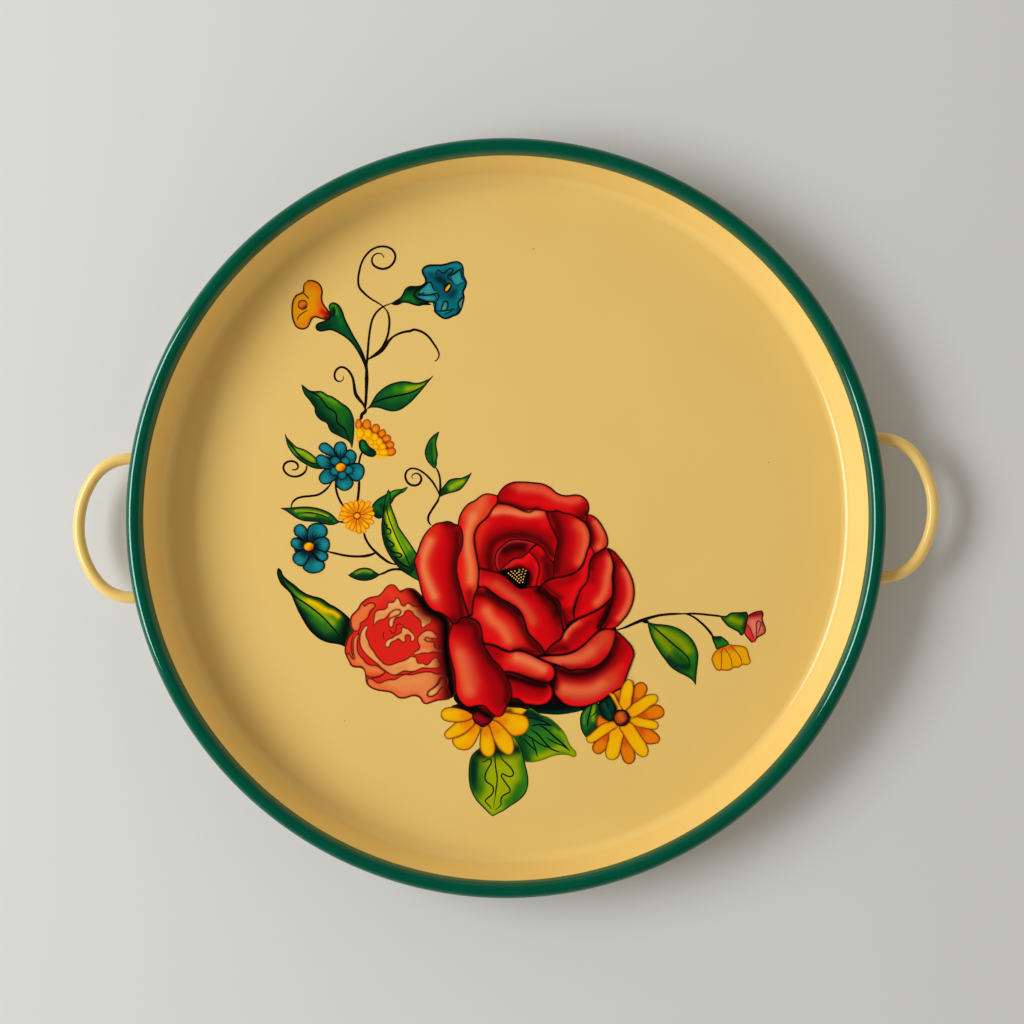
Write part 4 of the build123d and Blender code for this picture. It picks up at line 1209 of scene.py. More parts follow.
def paintRose():
    work = newPainting(rosePalette, level=7)
    ground = xy(-24,-57, -17,-100, 3,-101, 20,-104, 24,-106, 29,-103, 60,-88, 60,-60, 54,-30, 44,-8,
        20,2, 0,4, -14,-6, -22,-20)
    addBlob(work, ground, "night")
    for petal in rosePetals:
        addSkin(work, petal["left"], petal["right"], petal["base"], petal["touches"],
                rim=("night", 0.6, 0.8), ink=petal.get("ink", 0.5))
    addBlob(work, xy(-4.6,-30.6, -2,-29, 2,-28.6, 6,-29, 9.4,-28.6, 11.6,-30.4, 12,-33.6, 11.4,-37,
        10.4,-39.4, 6.6,-39.8, 3.6,-37.8, -0.4,-34.2), "black")
    seedRows = [((0.6, -31.4), (6.6, -36.8), 7), ((2.2, -30.4), (8.4, -36.6), 7),
                ((4.2, -30.2), (8.8, -35), 5), ((6.4, -30.8), (9.2, -33.4), 3),
                ((6.8, -29.6), (9.9, -31.8), 3), ((8.9, -29.3), (10.4, -30.2), 2)]
    for first, last, count in seedRows:
        for share in np.linspace(0, 1, count):
            x, y = np.array(first) * (1 - share) + np.array(last) * share
            spot = [(x - 0.5, y + 0.1), (x, y + 0.42), (x + 0.5, y + 0.1), (x + 0.1, y - 0.42)]
            addBlob(work, spot, "seed", touches=[("pale", [(x - 0.1, y + 0.12)], 0.25)],
                    dome=6.0, rise=0)
    fold = xy(16.9,-15.3, 14.6,-17, 12.4,-19.2)
    addLine(work, fold, 0.8)
    return finishPainting(work, "painted_rose")


paintRose()


paintRightDaisy()


# the sprig to the right: an arched stem with a leaf, a rosebud and a bell flower
sprigPalette = dict(green="#2c7212", lime="#8d9c03", deep="#0a4420", pine="#05301e", ink="#0b150a",
                    vein="#0b2c0a", coral="#dd6a58", rose="#e52a28", maroon="#95121a",
                    blush="#e88c74", berry="#470810", yellow="#ebac06", orange="#e2720c",
                    bark="#120c05", rim="#9c5208", amber="#ee9a08", leafy="#1f7a16")


def paintSprig():
    work = newPainting(sprigPalette)
    leaf = (xy(104.8,-97.4, 105.3,-90, 106,-85, 106.4,-80, 105.3,-75.5, 103,-71.4, 100,-68.3, 96,-65.5,
        92,-63.9, 87,-62.9, 82,-62.2, 78.4,-61),
            xy(104.8,-97.4, 103.4,-95, 100,-92.3, 95,-89.6, 91,-86.6, 88,-82.6, 84.5,-77.5, 81.5,-72,
                79.6,-66.6, 78.4,-61))
    addSkin(work, *leaf, "green", touches=[
        ("lime", xy(85,-65.6, 91,-69, 98,-74, 101,-78), 3.2, 0.95),
        ("lime", xy(84,-69, 88,-74, 92,-79), 2.4, 0.85),
        ("leafy", xy(103.4,-82, 103,-90), 2.4, 0.7),
        ("pine", xy(90,-83, 95,-86.6, 100,-87), 2.6, 0.95),
        ("deep", xy(93,-79, 98,-83), 2, 0.6)], rim=("pine", 1.1, 0.9), ink=0.5, inkName="vein")
    bud = xy(135,-59.4, 138,-57.6, 141,-56.8, 143.5,-56.7, 144,-58, 143.4,-60.5, 143.8,-63, 144.9,-66,
        144.7,-69, 142.5,-70.3, 140,-71.8, 138.8,-74, 137.2,-74.2, 135.6,-72.3, 133.3,-69, 133.6,-65)
    addBlob(work, bud, "coral", touches=[
        ("maroon", xy(134.6,-59, 139,-58.6, 143,-58), 1.6, 1.0),
        ("rose", xy(134.6,-65.6, 135.8,-69, 137.6,-73), 1.5, 1.0),
        ("blush", xy(138,-62.6, 138.8,-68), 1.3, 0.8), ("blush", [(143.2, -66)], 1.1, 0.8)],
        rim=("berry", 0.55, 0.9), ink=0.5, inkName="berry", rise=0)
    bell = xy(123.6,-75, 127,-75.6, 130.5,-76, 133.4,-77, 134.6,-79, 135.3,-82, 136,-85.4, 134.6,-86.9,
        131.6,-86.5, 129.4,-88.1, 126.2,-88, 124.8,-89.3, 122,-89.6, 119.5,-89.3, 117.4,-89.6, 116,-88,
        114.8,-85.2, 114.2,-83.2, 115,-80.8, 117,-78.4, 119.5,-76.6)
    addBlob(work, bell, "yellow", touches=[
        ("orange", xy(119,-78.4, 121.6,-77, 126,-77), 2.0, 1.0),
        ("amber", xy(116,-81, 119,-84), 1.6, 0.7)],
        rim=("rim", 0.6, 0.85), ink=0.45, inkName="rim", rise=0)
    calyx = xy(119.9,-58.9, 123,-59, 126,-57.3, 129,-57.2, 132,-57.2, 134.5,-57.1, 135.2,-59, 134.8,-62,
        134,-65.5, 132.7,-69, 131.5,-70, 129.8,-68, 127,-66.3, 124,-64.5, 122,-62.2)
    addBlob(work, calyx, "green", touches=[
        ("lime", xy(125.6,-60.6, 129,-62, 131,-62.6), 1.9, 1.0),
        ("pine", xy(131,-58, 134.2,-59.4, 133,-66), 1.5, 0.9)],
        rim=("pine", 0.8, 0.9), ink=0.5, inkName="ink")
    calyx = xy(114.8,-70, 117,-70.5, 119.5,-70.4, 121.3,-71.6, 124,-74.9, 122,-75.8, 119.4,-76.6,
        117,-77.3, 116.5,-75.5, 115.5,-73)
    addBlob(work, calyx, "leafy", touches=[("pine", xy(115,-71, 118.6,-71.4), 1.5, 1.0)],
            rim=("pine", 0.55, 0.8), ink=0.45, inkName="ink")
    for route, width, name in (
            (xy(60,-65.2, 65,-64, 70,-62, 75,-60.1, 80,-58.6, 85,-57.5, 90,-57, 95,-56.9, 100,-57),
                (0.7, 1.0, 1.3, 1.0, 0.95, 0.9), "bark"),
            (xy(99,-56.9, 106,-57.1, 112,-57.8, 118,-58.6, 122,-59.3), 0.8, "bark"),
            (xy(100,-57.1, 104,-58.6, 108,-61.6, 112,-65.7, 114.4,-68.9, 115.6,-71.3),
             (0.6, 0.8, 0.9, 1.1), "bark"),
            (xy(75.4,-60, 77,-60.8, 79.2,-61), 1.3, "bark"),
            (xy(79.6,-62, 84,-66, 89,-70.6, 94,-75.2, 98.5,-79.2, 100.8,-82, 101.6,-85, 101,-87.6),
                0.75, "vein"),
            (xy(134.4,-63.8, 136.4,-66.4, 137.8,-70.6, 138.6,-72.6), 0.45, "berry"),
            (xy(139.8,-71.6, 139.9,-67, 140.1,-63.4, 141.3,-62, 142.4,-63, 142,-66, 140.6,-69.4), 0.45,
                "berry"),
            (xy(143.4,-61, 143.2,-64, 144,-67.6), 0.3, "berry"),
            (xy(120.3,-76.8, 119.8,-80, 119.7,-85, 119.2,-89), 0.5, "rim"),
            (xy(121,-76.6, 123.6,-80, 125.3,-84, 125.5,-87.6), 0.5, "rim"),
            (xy(124.4,-75.4, 128,-79, 130.5,-83, 131.2,-86.4), 0.5, "rim")):
        addLine(work, route, width, name)
    return finishPainting(work, "painted_sprig_right")


paintSprig()


# the wild flowers at the upper left, with their stems, tendrils and leaves
wildPalette = dict(
    teal="#06707c", sea="#064c60", cyan="#1f93a0", mist="#5c9c8e", abyss="#04202c", black="#020d0e",
    amber="#e69c04", orange="#ea7a0c", flame="#ee5f12", scarlet="#c4180e", umber="#4a0d04",
    sun="#ffba0c", gold="#f8c806", honey="#f8a00a", rust="#b04606", blood="#8a1a05",
    green="#1a661c", bright="#3f9010", lime="#a0b308", lemon="#cfcf0e", deep="#084a26",
    pine="#042b1b", jade="#0a5c30", leafy="#0c8220", ink="#0a0d08", bark="#170c05")
wildLeaves = [
    # the tall leaf, upper left
    dict(left=xy(-113.6,78.6, -113,75.5, -111.8,72.8, -109.5,70, -107.5,67, -106.4,65.2, -106.4,63,
            -105.3,60.5, -102.8,58, -99.7,56.4, -98.9,54, -97.6,51.6, -95,50, -92,48.4, -89,46.8,
            -87,44.8, -86.2,41.7),
        right=xy(-113.6,78.6, -111.5,76.8, -109.3,75, -106.5,74.4, -103,74.4, -101,73.5, -99.4,72.2,
            -97,71.4, -94,69.4, -91,67.1, -88,65, -86,62, -84.9,58.5, -84.7,54, -85,49, -85.5,45,
            -86.2,41.7),
        base="green", rim=("pine", 0.9, 0.95), touches=[
            ("deep", xy(-110,73, -104,66, -101,60, -96,55, -90,50), 4.2, 0.95),
            ("pine", xy(-108,69.4, -104.6,62, -98,55.6, -94,51), 2.6, 0.95),
            ("bright", xy(-104,72.8, -99,70, -93,66.6), 2.1, 1.0),
            ("lime", xy(-103,73.4, -98,70.8, -94,68.4), 0.9, 0.7),
            ("green", xy(-93,63, -90,58), 2.6, 0.8),
            ("deep", xy(-86.6,58, -87,50, -87.4,46), 2.4, 0.95)]),
    # the slim leaf below it
    dict(left=xy(-123.8,50.8, -123.2,48, -122.5,45, -121.1,42, -119,39, -116,36, -112.5,33.6, -109,31.7,
            -105,30.7, -100.5,30.8),
        right=xy(-123.8,50.8, -122.5,48.4, -120,45.6, -117.5,43.2, -114,42, -110.5,40, -107.5,37.5,
            -105,35, -100.5,30.8),
        base="green", rim=("deep", 0.7, 0.9), touches=[
            ("lime", xy(-118,42, -113,39.6, -108.6,36), 2.0, 1.0),
            ("bright", xy(-121.6,44, -117,38.6), 1.2, 0.6),
            ("pine", xy(-117,37, -111,33, -104,31.4), 1.3, 0.95)]),
    # the broad leaf to the right of the stem
    dict(left=xy(-39.1,81.5, -41,80, -44,78.6, -47,77.6, -50,77.6, -53,78.4, -56,78.7, -60,78.2, -64,77,
            -67.5,75, -71,72, -73.5,68.5, -75,66, -77.8,63.2),
        right=xy(-39.1,81.5, -41.5,78.8, -44.5,75.3, -48,71.4, -51.5,67.8, -55,65, -58.5,62.9, -62,62.2,
            -65.5,62.8, -69.5,64.2, -73,64.7, -76,64.2, -77.8,63.2),
        base="jade", rim=("pine", 0.85, 0.95), touches=[
            ("deep", xy(-73,67.6, -66,65.4, -58,65), 2.6, 0.9),
            ("green", xy(-64,73.6, -56,73.4), 2.4, 0.8), ("green", xy(-64,68.4, -54,69.6), 2.0, 0.8),
            ("bright", xy(-60,74.4, -53,73.6, -46,75.6), 2.4, 0.75),
            ("lime", xy(-54,74.6, -49,75.6, -44.4,77.4), 1.9, 0.9)]),
    # the striped leaf beside the daisy
    dict(left=xy(-127.4,9, -124,8.9, -119,9.1, -114,9.3, -109,8.8, -104.5,7.6, -100.5,5.8, -97.5,3.6,
            -95.5,1.3, -94,0.4),
        right=xy(-127.4,9, -124.5,7.6, -121.5,5.5, -118,3, -114.5,1.6, -110,1.1, -106,0.6, -102.5,-0.6,
            -99,-1.2, -96,-0.6, -94,0.4),
        base="green", rim=("pine", 0.85, 0.95), touches=[
            ("lime", xy(-119,7.2, -112,7.2, -106,5.8, -101,3.8), 0.8, 1.0),
            ("lime", xy(-116.6,4.9, -112,4.7, -108,4.2), 0.5, 0.8),
            ("pine", xy(-114,2.6, -106,2, -99,0.4), 0.9, 0.8)]),
    # the big yellow-hearted leaf
    dict(left=xy(-66.1,17.8, -67.5,15, -68.8,10, -69.5,4, -70.3,-1, -70.4,-6, -69.8,-10.5, -68.3,-15.5,
            -66,-20, -63,-24.3, -59.5,-28.2, -55.5,-31, -51,-33.8, -46,-36),
        right=xy(-66.1,17.8, -65,15.5, -65.2,12.5, -65.2,9.5, -64.2,6, -62.4,1, -61,-3.5, -58.5,-7.5,
            -55.5,-12, -53,-16, -51,-19.4, -48,-26, -46,-36),
        base="bright", rim=("pine", 0.7, 0.95), touches=[
            ("lime", xy(-64,6, -61.4,-2, -57.4,-10, -54.6,-16), 1.5, 0.8),
            ("pine", xy(-68.6,8, -69.4,-2, -68.4,-11, -65.4,-18, -61,-25), 1.9, 1.0),
            ("lemon", xy(-66.8,4, -65.4,-3, -63.2,-10, -60.4,-16, -58.6,-19.6), 1.9, 1.0),
            ("jade", xy(-66.4,15, -66.8,10), 1.2, 0.8),
            ("green", xy(-58,-22, -54,-19), 2.4, 0.8),
            ("pine", xy(-61,-26, -55.6,-29, -51.6,-24, -50,-30), 3.2, 1.0)]),
    # the small one low on the left
    dict(left=xy(-90.2,-30, -87.5,-28.5, -84.5,-26.8, -81,-26.2, -77.8,-26.8, -75,-28.6, -72.2,-30.2),
        right=xy(-90.2,-30, -86.5,-32, -82.5,-33.1, -78,-32.9, -74.6,-31.6, -72.2,-30.2),
        base="deep", rim=("pine", 0.6, 0.9), touches=[
            ("lime", xy(-86,-28.8, -81,-27.6, -77,-28.4), 1.0, 0.85),
            ("pine", xy(-86,-31, -80,-31.6, -75,-31), 1.2, 0.9)]),
    # the two on the twig over the rose
    dict(left=xy(-36.6,49.8, -39.5,47.9, -41.9,45.4, -43.8,42, -44.7,38, -44,34.5, -42,31.5,
            -39.8,29.1),
        right=xy(-36.6,49.8, -37.4,47.6, -38.3,45, -38.6,42.5, -38.3,39.5, -37.9,36.5, -38.6,33.5,
            -38.6,31, -39.8,29.1),
        base="green", rim=("pine", 0.6, 0.85), touches=[
            ("bright", xy(-39.4,45, -39.7,39, -39.4,34), 0.9, 0.8),
            ("jade", xy(-42.6,41, -43,37), 1.0, 0.9),
            ("pine", xy(-41,43, -41.3,37, -40.4,31.5), 0.6, 0.9)]),
    dict(left=xy(-18.8,26.1, -22.4,23.9, -25,23.1, -28.4,23, -31.4,22.2, -34,19.6, -36.4,16.4,
            -37.7,12.6),
        right=xy(-18.8,26.1, -21,22.4, -23.4,19, -26,16.6, -29.5,15.5, -33.5,14.6, -37.7,12.6),
        base="green", rim=("pine", 0.65, 0.9), touches=[
            ("lime", xy(-31,17.6, -27.4,19.8, -24,21.2), 1.9, 1.0),
            ("pine", xy(-36,14.6, -33.6,17), 1.6, 0.8)]),
]
wildLines = [
    # veins
    (xy(-111.6,76.2, -109,74.6, -106,73, -103.4,71, -101.4,68.3, -99.5,65.5, -97,63.8, -95,62.2,
        -94.4,60, -94.3,57.4, -92.8,55.2, -90.3,53.2, -88.8,50, -87.4,46.6), 0.8, "ink"),
    (xy(-122.9,47.6, -119.5,43.1, -116.5,39.2, -113.5,36.3, -110,34.3, -105,33.2), 0.75, "ink"),
    (xy(-115.4,5.9, -110,5.9, -105,4.6, -100,2.4), 0.6, "ink"),
    (xy(-66.8,11.5, -67.3,7.4, -66.4,2, -64.6,-3.5, -62.3,-9.5, -60,-14.6, -57.8,-19, -56,-23.5,
        -55,-27.4), 0.65, "ink"),
    (xy(-69,0.4, -68.4,-1.8, -67.4,-2.6, -67.8,-3.8, -66.2,-4.4, -65.4,-5.8, -65.8,-7.2, -67.4,-7.2),
        0.85, "ink"),
    (xy(-68.4,-9, -66.4,-11.2, -64.4,-12.6, -63.7,-13.8, -65,-14.5, -66.6,-14), 0.85, "ink"),
    (xy(-66.8,-15, -64,-17.7, -61,-18.4, -59.4,-19.6, -60.8,-20.6, -62.8,-20), 0.85, "ink"),
    (xy(-63.8,-20.2, -61,-23.4, -57.6,-25.6, -55.2,-26.8), 0.85, "ink"),
    (xy(-74.4,66.4, -70,68.5, -66,69.6, -61,70.6, -56,71.4, -52,72.4, -48,74, -44.6,76.2), 0.85, "ink"),
    # stems and tendrils
    (xy(-76.5,90, -76.7,82, -77.1,74, -77.7,67, -78.2,63), (0.9, 1.5, 1.1, 1.2), "bark"),
    (xy(-90.1,83, -89.9,81.2, -91.2,79.9, -93,79.9, -94.6,81.5, -94.8,84, -93.6,86.5, -91,87.9,
        -88.3,87, -86,84.5, -84.6,81.5, -84,78, -83.7,75, -83,72, -81,69, -78.8,66, -78,63.6),
     (0.5, 0.85, 0.85, 1.0, 1.4, 1.3), "bark"),
    (xy(-77.6,64, -78.2,62.2, -80,60.7, -80.3,59.4, -80.9,57.8), 1.35, "bark"),
    (xy(-66.2,121.4, -69,123.5, -73,126, -77,129.5, -79.6,133, -80,137, -79.2,142, -77.6,147, -75,151,
        -71.5,154, -67.5,155.4, -63.5,155.2, -60.3,153.5, -58.7,150.5, -59.3,147, -61.5,144.3,
        -65,142.8, -68.6,143.4, -71.3,145.4, -72,148, -70.8,150.5, -68.2,151.7, -66.2,151, -65.1,149),
        (1.0, 0.9, 0.8, 0.8, 0.9, 0.9, 0.7), "bark"),
    (xy(-76.6,84, -76.4,89, -76,93, -75.5,98, -74.8,104, -73.8,110, -72.3,115, -70,118.5, -67.4,120.7,
        -65,122, -61.2,123.2), (0.9, 0.9, 0.85, 0.7), "bark"),
    (xy(-66.3,121.4, -64,118.5, -63.1,115, -63.2,110, -64.2,105, -66.2,100.5, -68.4,97.2, -71.4,94.6,
        -76,91.6), (0.7, 0.9, 0.9, 1.2), "bark"),
    (xy(-76,91.8, -73,93.2, -70,95, -67.6,97.2, -65.2,99.8, -63.2,102.4, -60.5,104.6, -57,106.2,
        -53.5,107, -51.4,107.2, -49.5,107.9, -46.5,107.3, -43.5,105.8, -41,103.6, -38.6,100.2,
        -36.4,96.5, -35.4,93.2, -36.1,91.2, -37.9,89.7), (1.1, 1.7, 0.8, 1.0, 0.9, 0.8, 0.8), "bark"),
    (xy(-111.9,32.6, -112.5,30, -114,28.2, -117,26.8, -120.5,26.8, -123.6,28.5, -125.2,31.5, -124.4,34,
        -122,35.3, -119,35.1, -117.2,33.6, -117,31.6, -118.4,30.5, -120.4,30.6), (1.1, 0.8, 0.85, 0.85),
        "bark"),
    (xy(-80.4,39.4, -81.7,36.4, -82.4,32.6), 0.8, "bark"),
    (xy(-121.5,9, -120.6,12, -118,14.2, -114.5,15.1, -110,15.4, -106,16, -102.5,18, -100,20.3, -98,23),
        0.85, "bark"),
    (xy(-95.9,24, -95.6,18, -94.2,13.4, -91.4,8.4), 0.85, "bark"),
    (xy(-82.5,24, -83,17, -84.1,10.4), 1.0, "bark"),
    (xy(-94.4,0.4, -91,0), 0.8, "bark"),
    (xy(-80.8,-3.6, -80,-9, -77.6,-13.5, -74,-17.6, -70,-21.2, -66.5,-23.6, -62.4,-24.8),
        (1.0, 0.9, 1.1, 0.8), "bark"),
    (xy(-102.5,-16, -97,-17.5, -91,-18.9, -85,-19.5, -79.5,-19.3, -76.5,-18.6, -74.2,-17.6),
        (0.8, 0.9, 0.9, 1.4), "bark"),
    (xy(-73.6,-30.4, -70,-29.3, -66.5,-27.8, -63,-27.3, -58,-28.4), (0.8, 0.9, 1.0), "bark"),
    (xy(-42.6,-3, -44,-0.6, -43.9,2, -42.3,5, -40,8.3, -38.2,11, -37.3,14), 0.9, "bark"),
    (xy(-37.3,13, -36.7,19, -36.9,24, -37.8,27.4, -39.4,30.2), (1.0, 0.8, 0.7), "bark"),
    (xy(-37.2,13.6, -39.5,19, -42.5,23.4, -46,26.8, -50,29.1, -53.5,29.3, -55.8,27.4, -56.3,24.2,
        -54.8,21.2, -52,19.8, -49,20.4, -47.4,22.8, -47.8,25.2, -49.8,26.6, -51.8,26.1, -52.7,24.9,
        -52.1,23.7), (1.0, 0.8, 0.7, 0.9, 0.9, 0.6), "bark"),
]
# the upper blue flower's petals, its ring of short inner petals, and the lower flower's petals
upperBlue = [
    xy(-94.6,35, -99.5,38.4, -103,40.2, -104.8,42.6, -103.8,44.6, -101.2,45.2, -98.6,43.6, -96.4,41.2,
        -94.8,38.4),
    xy(-92.6,35, -95.4,38.6, -96.2,42, -95,44.6, -92.8,45.7, -90.5,44.8, -89.3,42.4, -89.6,39.2),
    xy(-91,34, -89.8,39.2, -88,40.8, -85.6,40.4, -84,38.2, -84.2,35.4, -85.8,33),
    xy(-90,31.6, -85.6,33, -82,32.9, -79.8,30.6, -79.9,27, -81.4,24.2, -84.2,23.1, -87.2,24.8),
    xy(-91.6,29, -95,24.4, -95.6,21.6, -93.6,19, -90.5,17.9, -87.6,19.4, -86,22.2, -87.8,25.2),
    xy(-94,30, -98,30.4, -101.2,30.4, -104,28, -105.2,25, -103.8,22.6, -101,22, -98,23.2, -95.2,25.4),
    xy(-95,31.6, -98,35.2, -101,37.4, -104.2,38.5, -106.3,37.4, -106.3,34.4, -104.6,31.8, -101.2,30.6),
]
upperRing = [
    xy(-94,33, -97,33.2, -98.1,35, -97.2,36.6, -95.2,36.9, -93.6,35.4),
    xy(-91.6,33.4, -91.8,35.9, -90.2,36.6, -88.3,35.7, -88,33.8, -89.6,32.8),
    xy(-90.2,31, -87.2,31.3, -86.1,29.6, -87.1,27.7, -89.4,27.7, -90.8,29.4),
    xy(-95,30.6, -97.8,30.7, -98.4,28.6, -96.8,27, -94.6,27.5, -93.6,29.4),
    xy(-93,29, -94.1,26, -92.2,24.6, -90.1,25.8, -90.6,28.6),
]
lowerBlue = [
    xy(-112.6,-12, -117,-8, -119.4,-6.2, -120.1,-3.6, -119,-1.4, -117,-0.4, -114.7,-1.4, -113.2,-3.6,
        -112.7,-7),
    xy(-112,-12, -112.7,-5.6, -111.8,-2.3, -109.5,-0.6, -106,-0.2, -103,-1.4, -101.6,-4, -101.9,-6.6,
        -103.6,-8, -107,-8.8),
    xy(-111.4,-12.6, -106.8,-8.6, -103.5,-7.9, -101.2,-9.4, -100.3,-12, -101.1,-15, -103,-16.7,
        -107,-15),
    xy(-111.4,-13.4, -105.5,-15.2, -102.7,-16.6, -101.5,-19, -102.6,-21.2, -105,-21.5, -108,-19),
    xy(-111.8,-14, -109,-19, -106.6,-21.3, -104,-22.3, -103.6,-24.8, -105.6,-27.2, -109.3,-28.2,
        -113,-27.4, -115.5,-25, -114.6,-23, -112.8,-20),
    xy(-112.4,-14, -116,-15.4, -119,-16.3, -121.1,-18.4, -120.9,-21, -119,-23.2, -116.2,-24,
        -113.8,-22.8, -112.2,-19.6),
    xy(-112.6,-13, -117,-9.1, -119.6,-8.1, -121.9,-9.6, -121.9,-12, -120,-14, -117,-14.9),
]


def bluePetals(work, petals, centre):
    # teal petals, nearly black towards the centre, with three fine rays drawn up each
    for outline in petals:
        outline = np.array(outline)
        root = np.array(centre)
        tip = outline[np.argmax(np.linalg.norm(outline - root, axis=1))]
        at = [tuple(root + (tip - root) * share) for share in (0.0, 0.3, 0.5, 0.8)]
        size = np.linalg.norm(tip - root)
        addBlob(work, outline, "teal", touches=[
            ("cyan", [at[2], at[3]], 0.2 * size, 0.85), ("abyss", [at[0], at[1]], 0.25 * size, 1.0)],
            rim=("abyss", 0.55, 0.85), ink=0.55, inkName="black", dome=0.4, rise=0.5)
    work["level"] += 1
    for outline in petals:
        outline = np.array(outline)
        middle = outline.mean(axis=0)
        toward = middle - np.array(centre)
        side = np.array([-toward[1], toward[0]])
        for lean in (-0.28, 0.0, 0.28):
            start = np.array(centre) + 0.35 * toward + 0.1 * lean * side
            addLine(work, [tuple(start), tuple(start + 0.6 * toward + 0.75 * lean * side)],
                    (0.7, 0.15), "abyss", taper=0.2)
    work["level"] += 1


def paintWildLeaves():
    work = newPainting(wildPalette)
    back = xy(-66,15.6, -69,14.2, -72,12.5, -74.6,10, -75.8,7.4, -75.4,4.6, -73.8,2.4, -71.6,1.7,
        -69.6,3, -68,8, -66,13)
    addBlob(work, back, "green", touches=[
        ("jade", xy(-73,9, -69.6,13), 1.6, 0.9), ("pine", xy(-75,5, -71.6,3), 2.0, 1.0),
        ("pine", xy(-69.4,6, -70.4,9), 1.2, 0.8)], rim=("pine", 0.7, 0.9), ink=0.5, rise=0)
    back = xy(-66,15.4, -62.5,17.4, -59,17.7, -55.2,18.8, -57.2,16.6, -60,15.2, -62.6,13.3, -65.2,9.9,
        -66.4,12.4)
    addBlob(work, back, "bright", touches=[("pine", xy(-65,11.6, -62,14, -58.6,16.4), 1.0, 1.0)],
            rim=("deep", 0.5, 0.8), ink=0.4)
    for leaf in wildLeaves:
        addSkin(work, leaf["left"], leaf["right"], leaf["base"], leaf["touches"],
                rim=leaf["rim"], ink=0.45, rise=0)
    work["level"] += 1
    for route, width, name in wildLines:
        addLine(work, route, width, name)
    return finishPainting(work, "painted_stems_and_leaves")


def paintBlueFlowers():
    work = newPainting(wildPalette, level=4)
    for petals, centre, ring in ((upperBlue, (-92.8, 31.2), upperRing),
        (lowerBlue, (-112, -13.2), [])):
        addBlob(work, disc(centre, 8.5), "abyss")
        bluePetals(work, petals, centre)
        for outline in ring:
            middle = np.mean(outline, axis=0)
            outline = middle + 1.2 * (outline - middle)
            addBlob(work, outline, "teal", touches=[("cyan", [tuple(middle)], 1.0, 0.7)],
                    rim=("abyss", 0.4, 0.8), ink=0.35, inkName="black", rise=0.25)
        work["level"] += 1
        x, y = centre
        addBlob(work, disc(centre, 3.1, start=0.4, squash=0.88), "sun", touches=[
            ("flame", [(x + 1.8, y - 0.4), (x + 0.6, y - 2)], 1.3, 0.9),
            ("scarlet", [(x + 2.9, y - 0.8), (x + 1.6, y - 2.4)], 0.8, 0.9)],
            rim=("black", 0.45, 0.7), ink=0.55, inkName="black")
    return finishPainting(work, "painted_blue_flowers")


def paintPompon():
    work = newPainting(wildPalette, level=4)
    ground = xy(-83.6,53, -83.5,47.4, -82.8,45.1, -81.6,45, -79,44, -75,40, -73,36.6, -70,36.1,
        -65,36.6, -64,41, -68,47, -72,51, -77,54.6, -81,56)
    addBlob(work, ground, "gold", touches=[("blood", xy(-80,55, -75,52, -71,49, -67,44, -65,39), 1.4,
        1.0)], rise=1)
    beads = [(-82, 55.2, 1.7, 3.0, 0), (-77.3, 55, 2.3, 2.8, 0), (-72.4, 52.5, 2.2, 2.6, -20),
             (-68.9, 49.7, 1.9, 2.4, -35), (-66.4, 46.8, 2.5, 2.0, 15), (-64.5, 43.2, 2.3, 2.0, -10),
             (-64.1, 39.2, 2.8, 2.2, 20)]
    for x, y, wide, tall, turn in beads:
        spot = disc((0, 0), 1.0) * (wide, tall)
        lean = math.radians(turn)
        spot = spot @ np.array([[math.cos(lean), math.sin(lean)],
            [-math.sin(lean), math.cos(lean)]]) + (x, y)
        addBlob(work, spot, "orange", touches=[("honey", [(x - 0.4, y - 0.3)], 1.3, 0.9)],
                rim=("rust", 0.5, 0.95), ink=0.4, inkName="rust", dome=3.0, rise=0)
    work["level"] += 1
    beads = [(-81.4, 50.2, 2.2, 3.0), (-76.8, 49.8, 2.2, 2.6), (-73, 47.6, 2.0, 2.3),
             (-70.5, 45, 1.9, 2.2), (-68.8, 42.2, 2.1, 1.9), (-68.2, 38.9, 2.7, 2.1),
             (-81.8, 47.2, 1.6, 1.9), (-78.6, 47.4, 1.9, 2.0), (-75.4, 45, 1.9, 1.9),
             (-72.6, 42.4, 1.9, 1.8), (-71.2, 39.2, 1.8, 1.9)]
    for x, y, wide, tall in beads[::-1]:
        spot = disc((0, 0), 1.0) * (wide, tall) + (x, y)
        addBlob(work, spot, "gold", touches=[("honey", [(x + 0.6 * wide, y + 0.5 * tall)], 1.0, 0.7)],
                rim=("orange", 0.45, 0.85), dome=3.0, rise=0.5)
    calyx = xy(-80.4,46.7, -79.1,46.2, -77.6,44, -76,42, -74,40.6, -72.8,39.2, -72.8,37.8, -74,36.9,
        -76,37, -78.4,38, -80.4,39.4, -81.6,41.6, -81.9,44, -81.5,45.8)
    addBlob(work, calyx, "deep", touches=[("leafy", xy(-80,44.6, -79,41.6), 1.2, 1.0),
        ("pine", xy(-76,39.6, -74,38.4), 1.4, 0.9)],
            rim=("black", 0.7, 0.95), ink=0.55, inkName="black")
    return finishPainting(work, "painted_pompon")


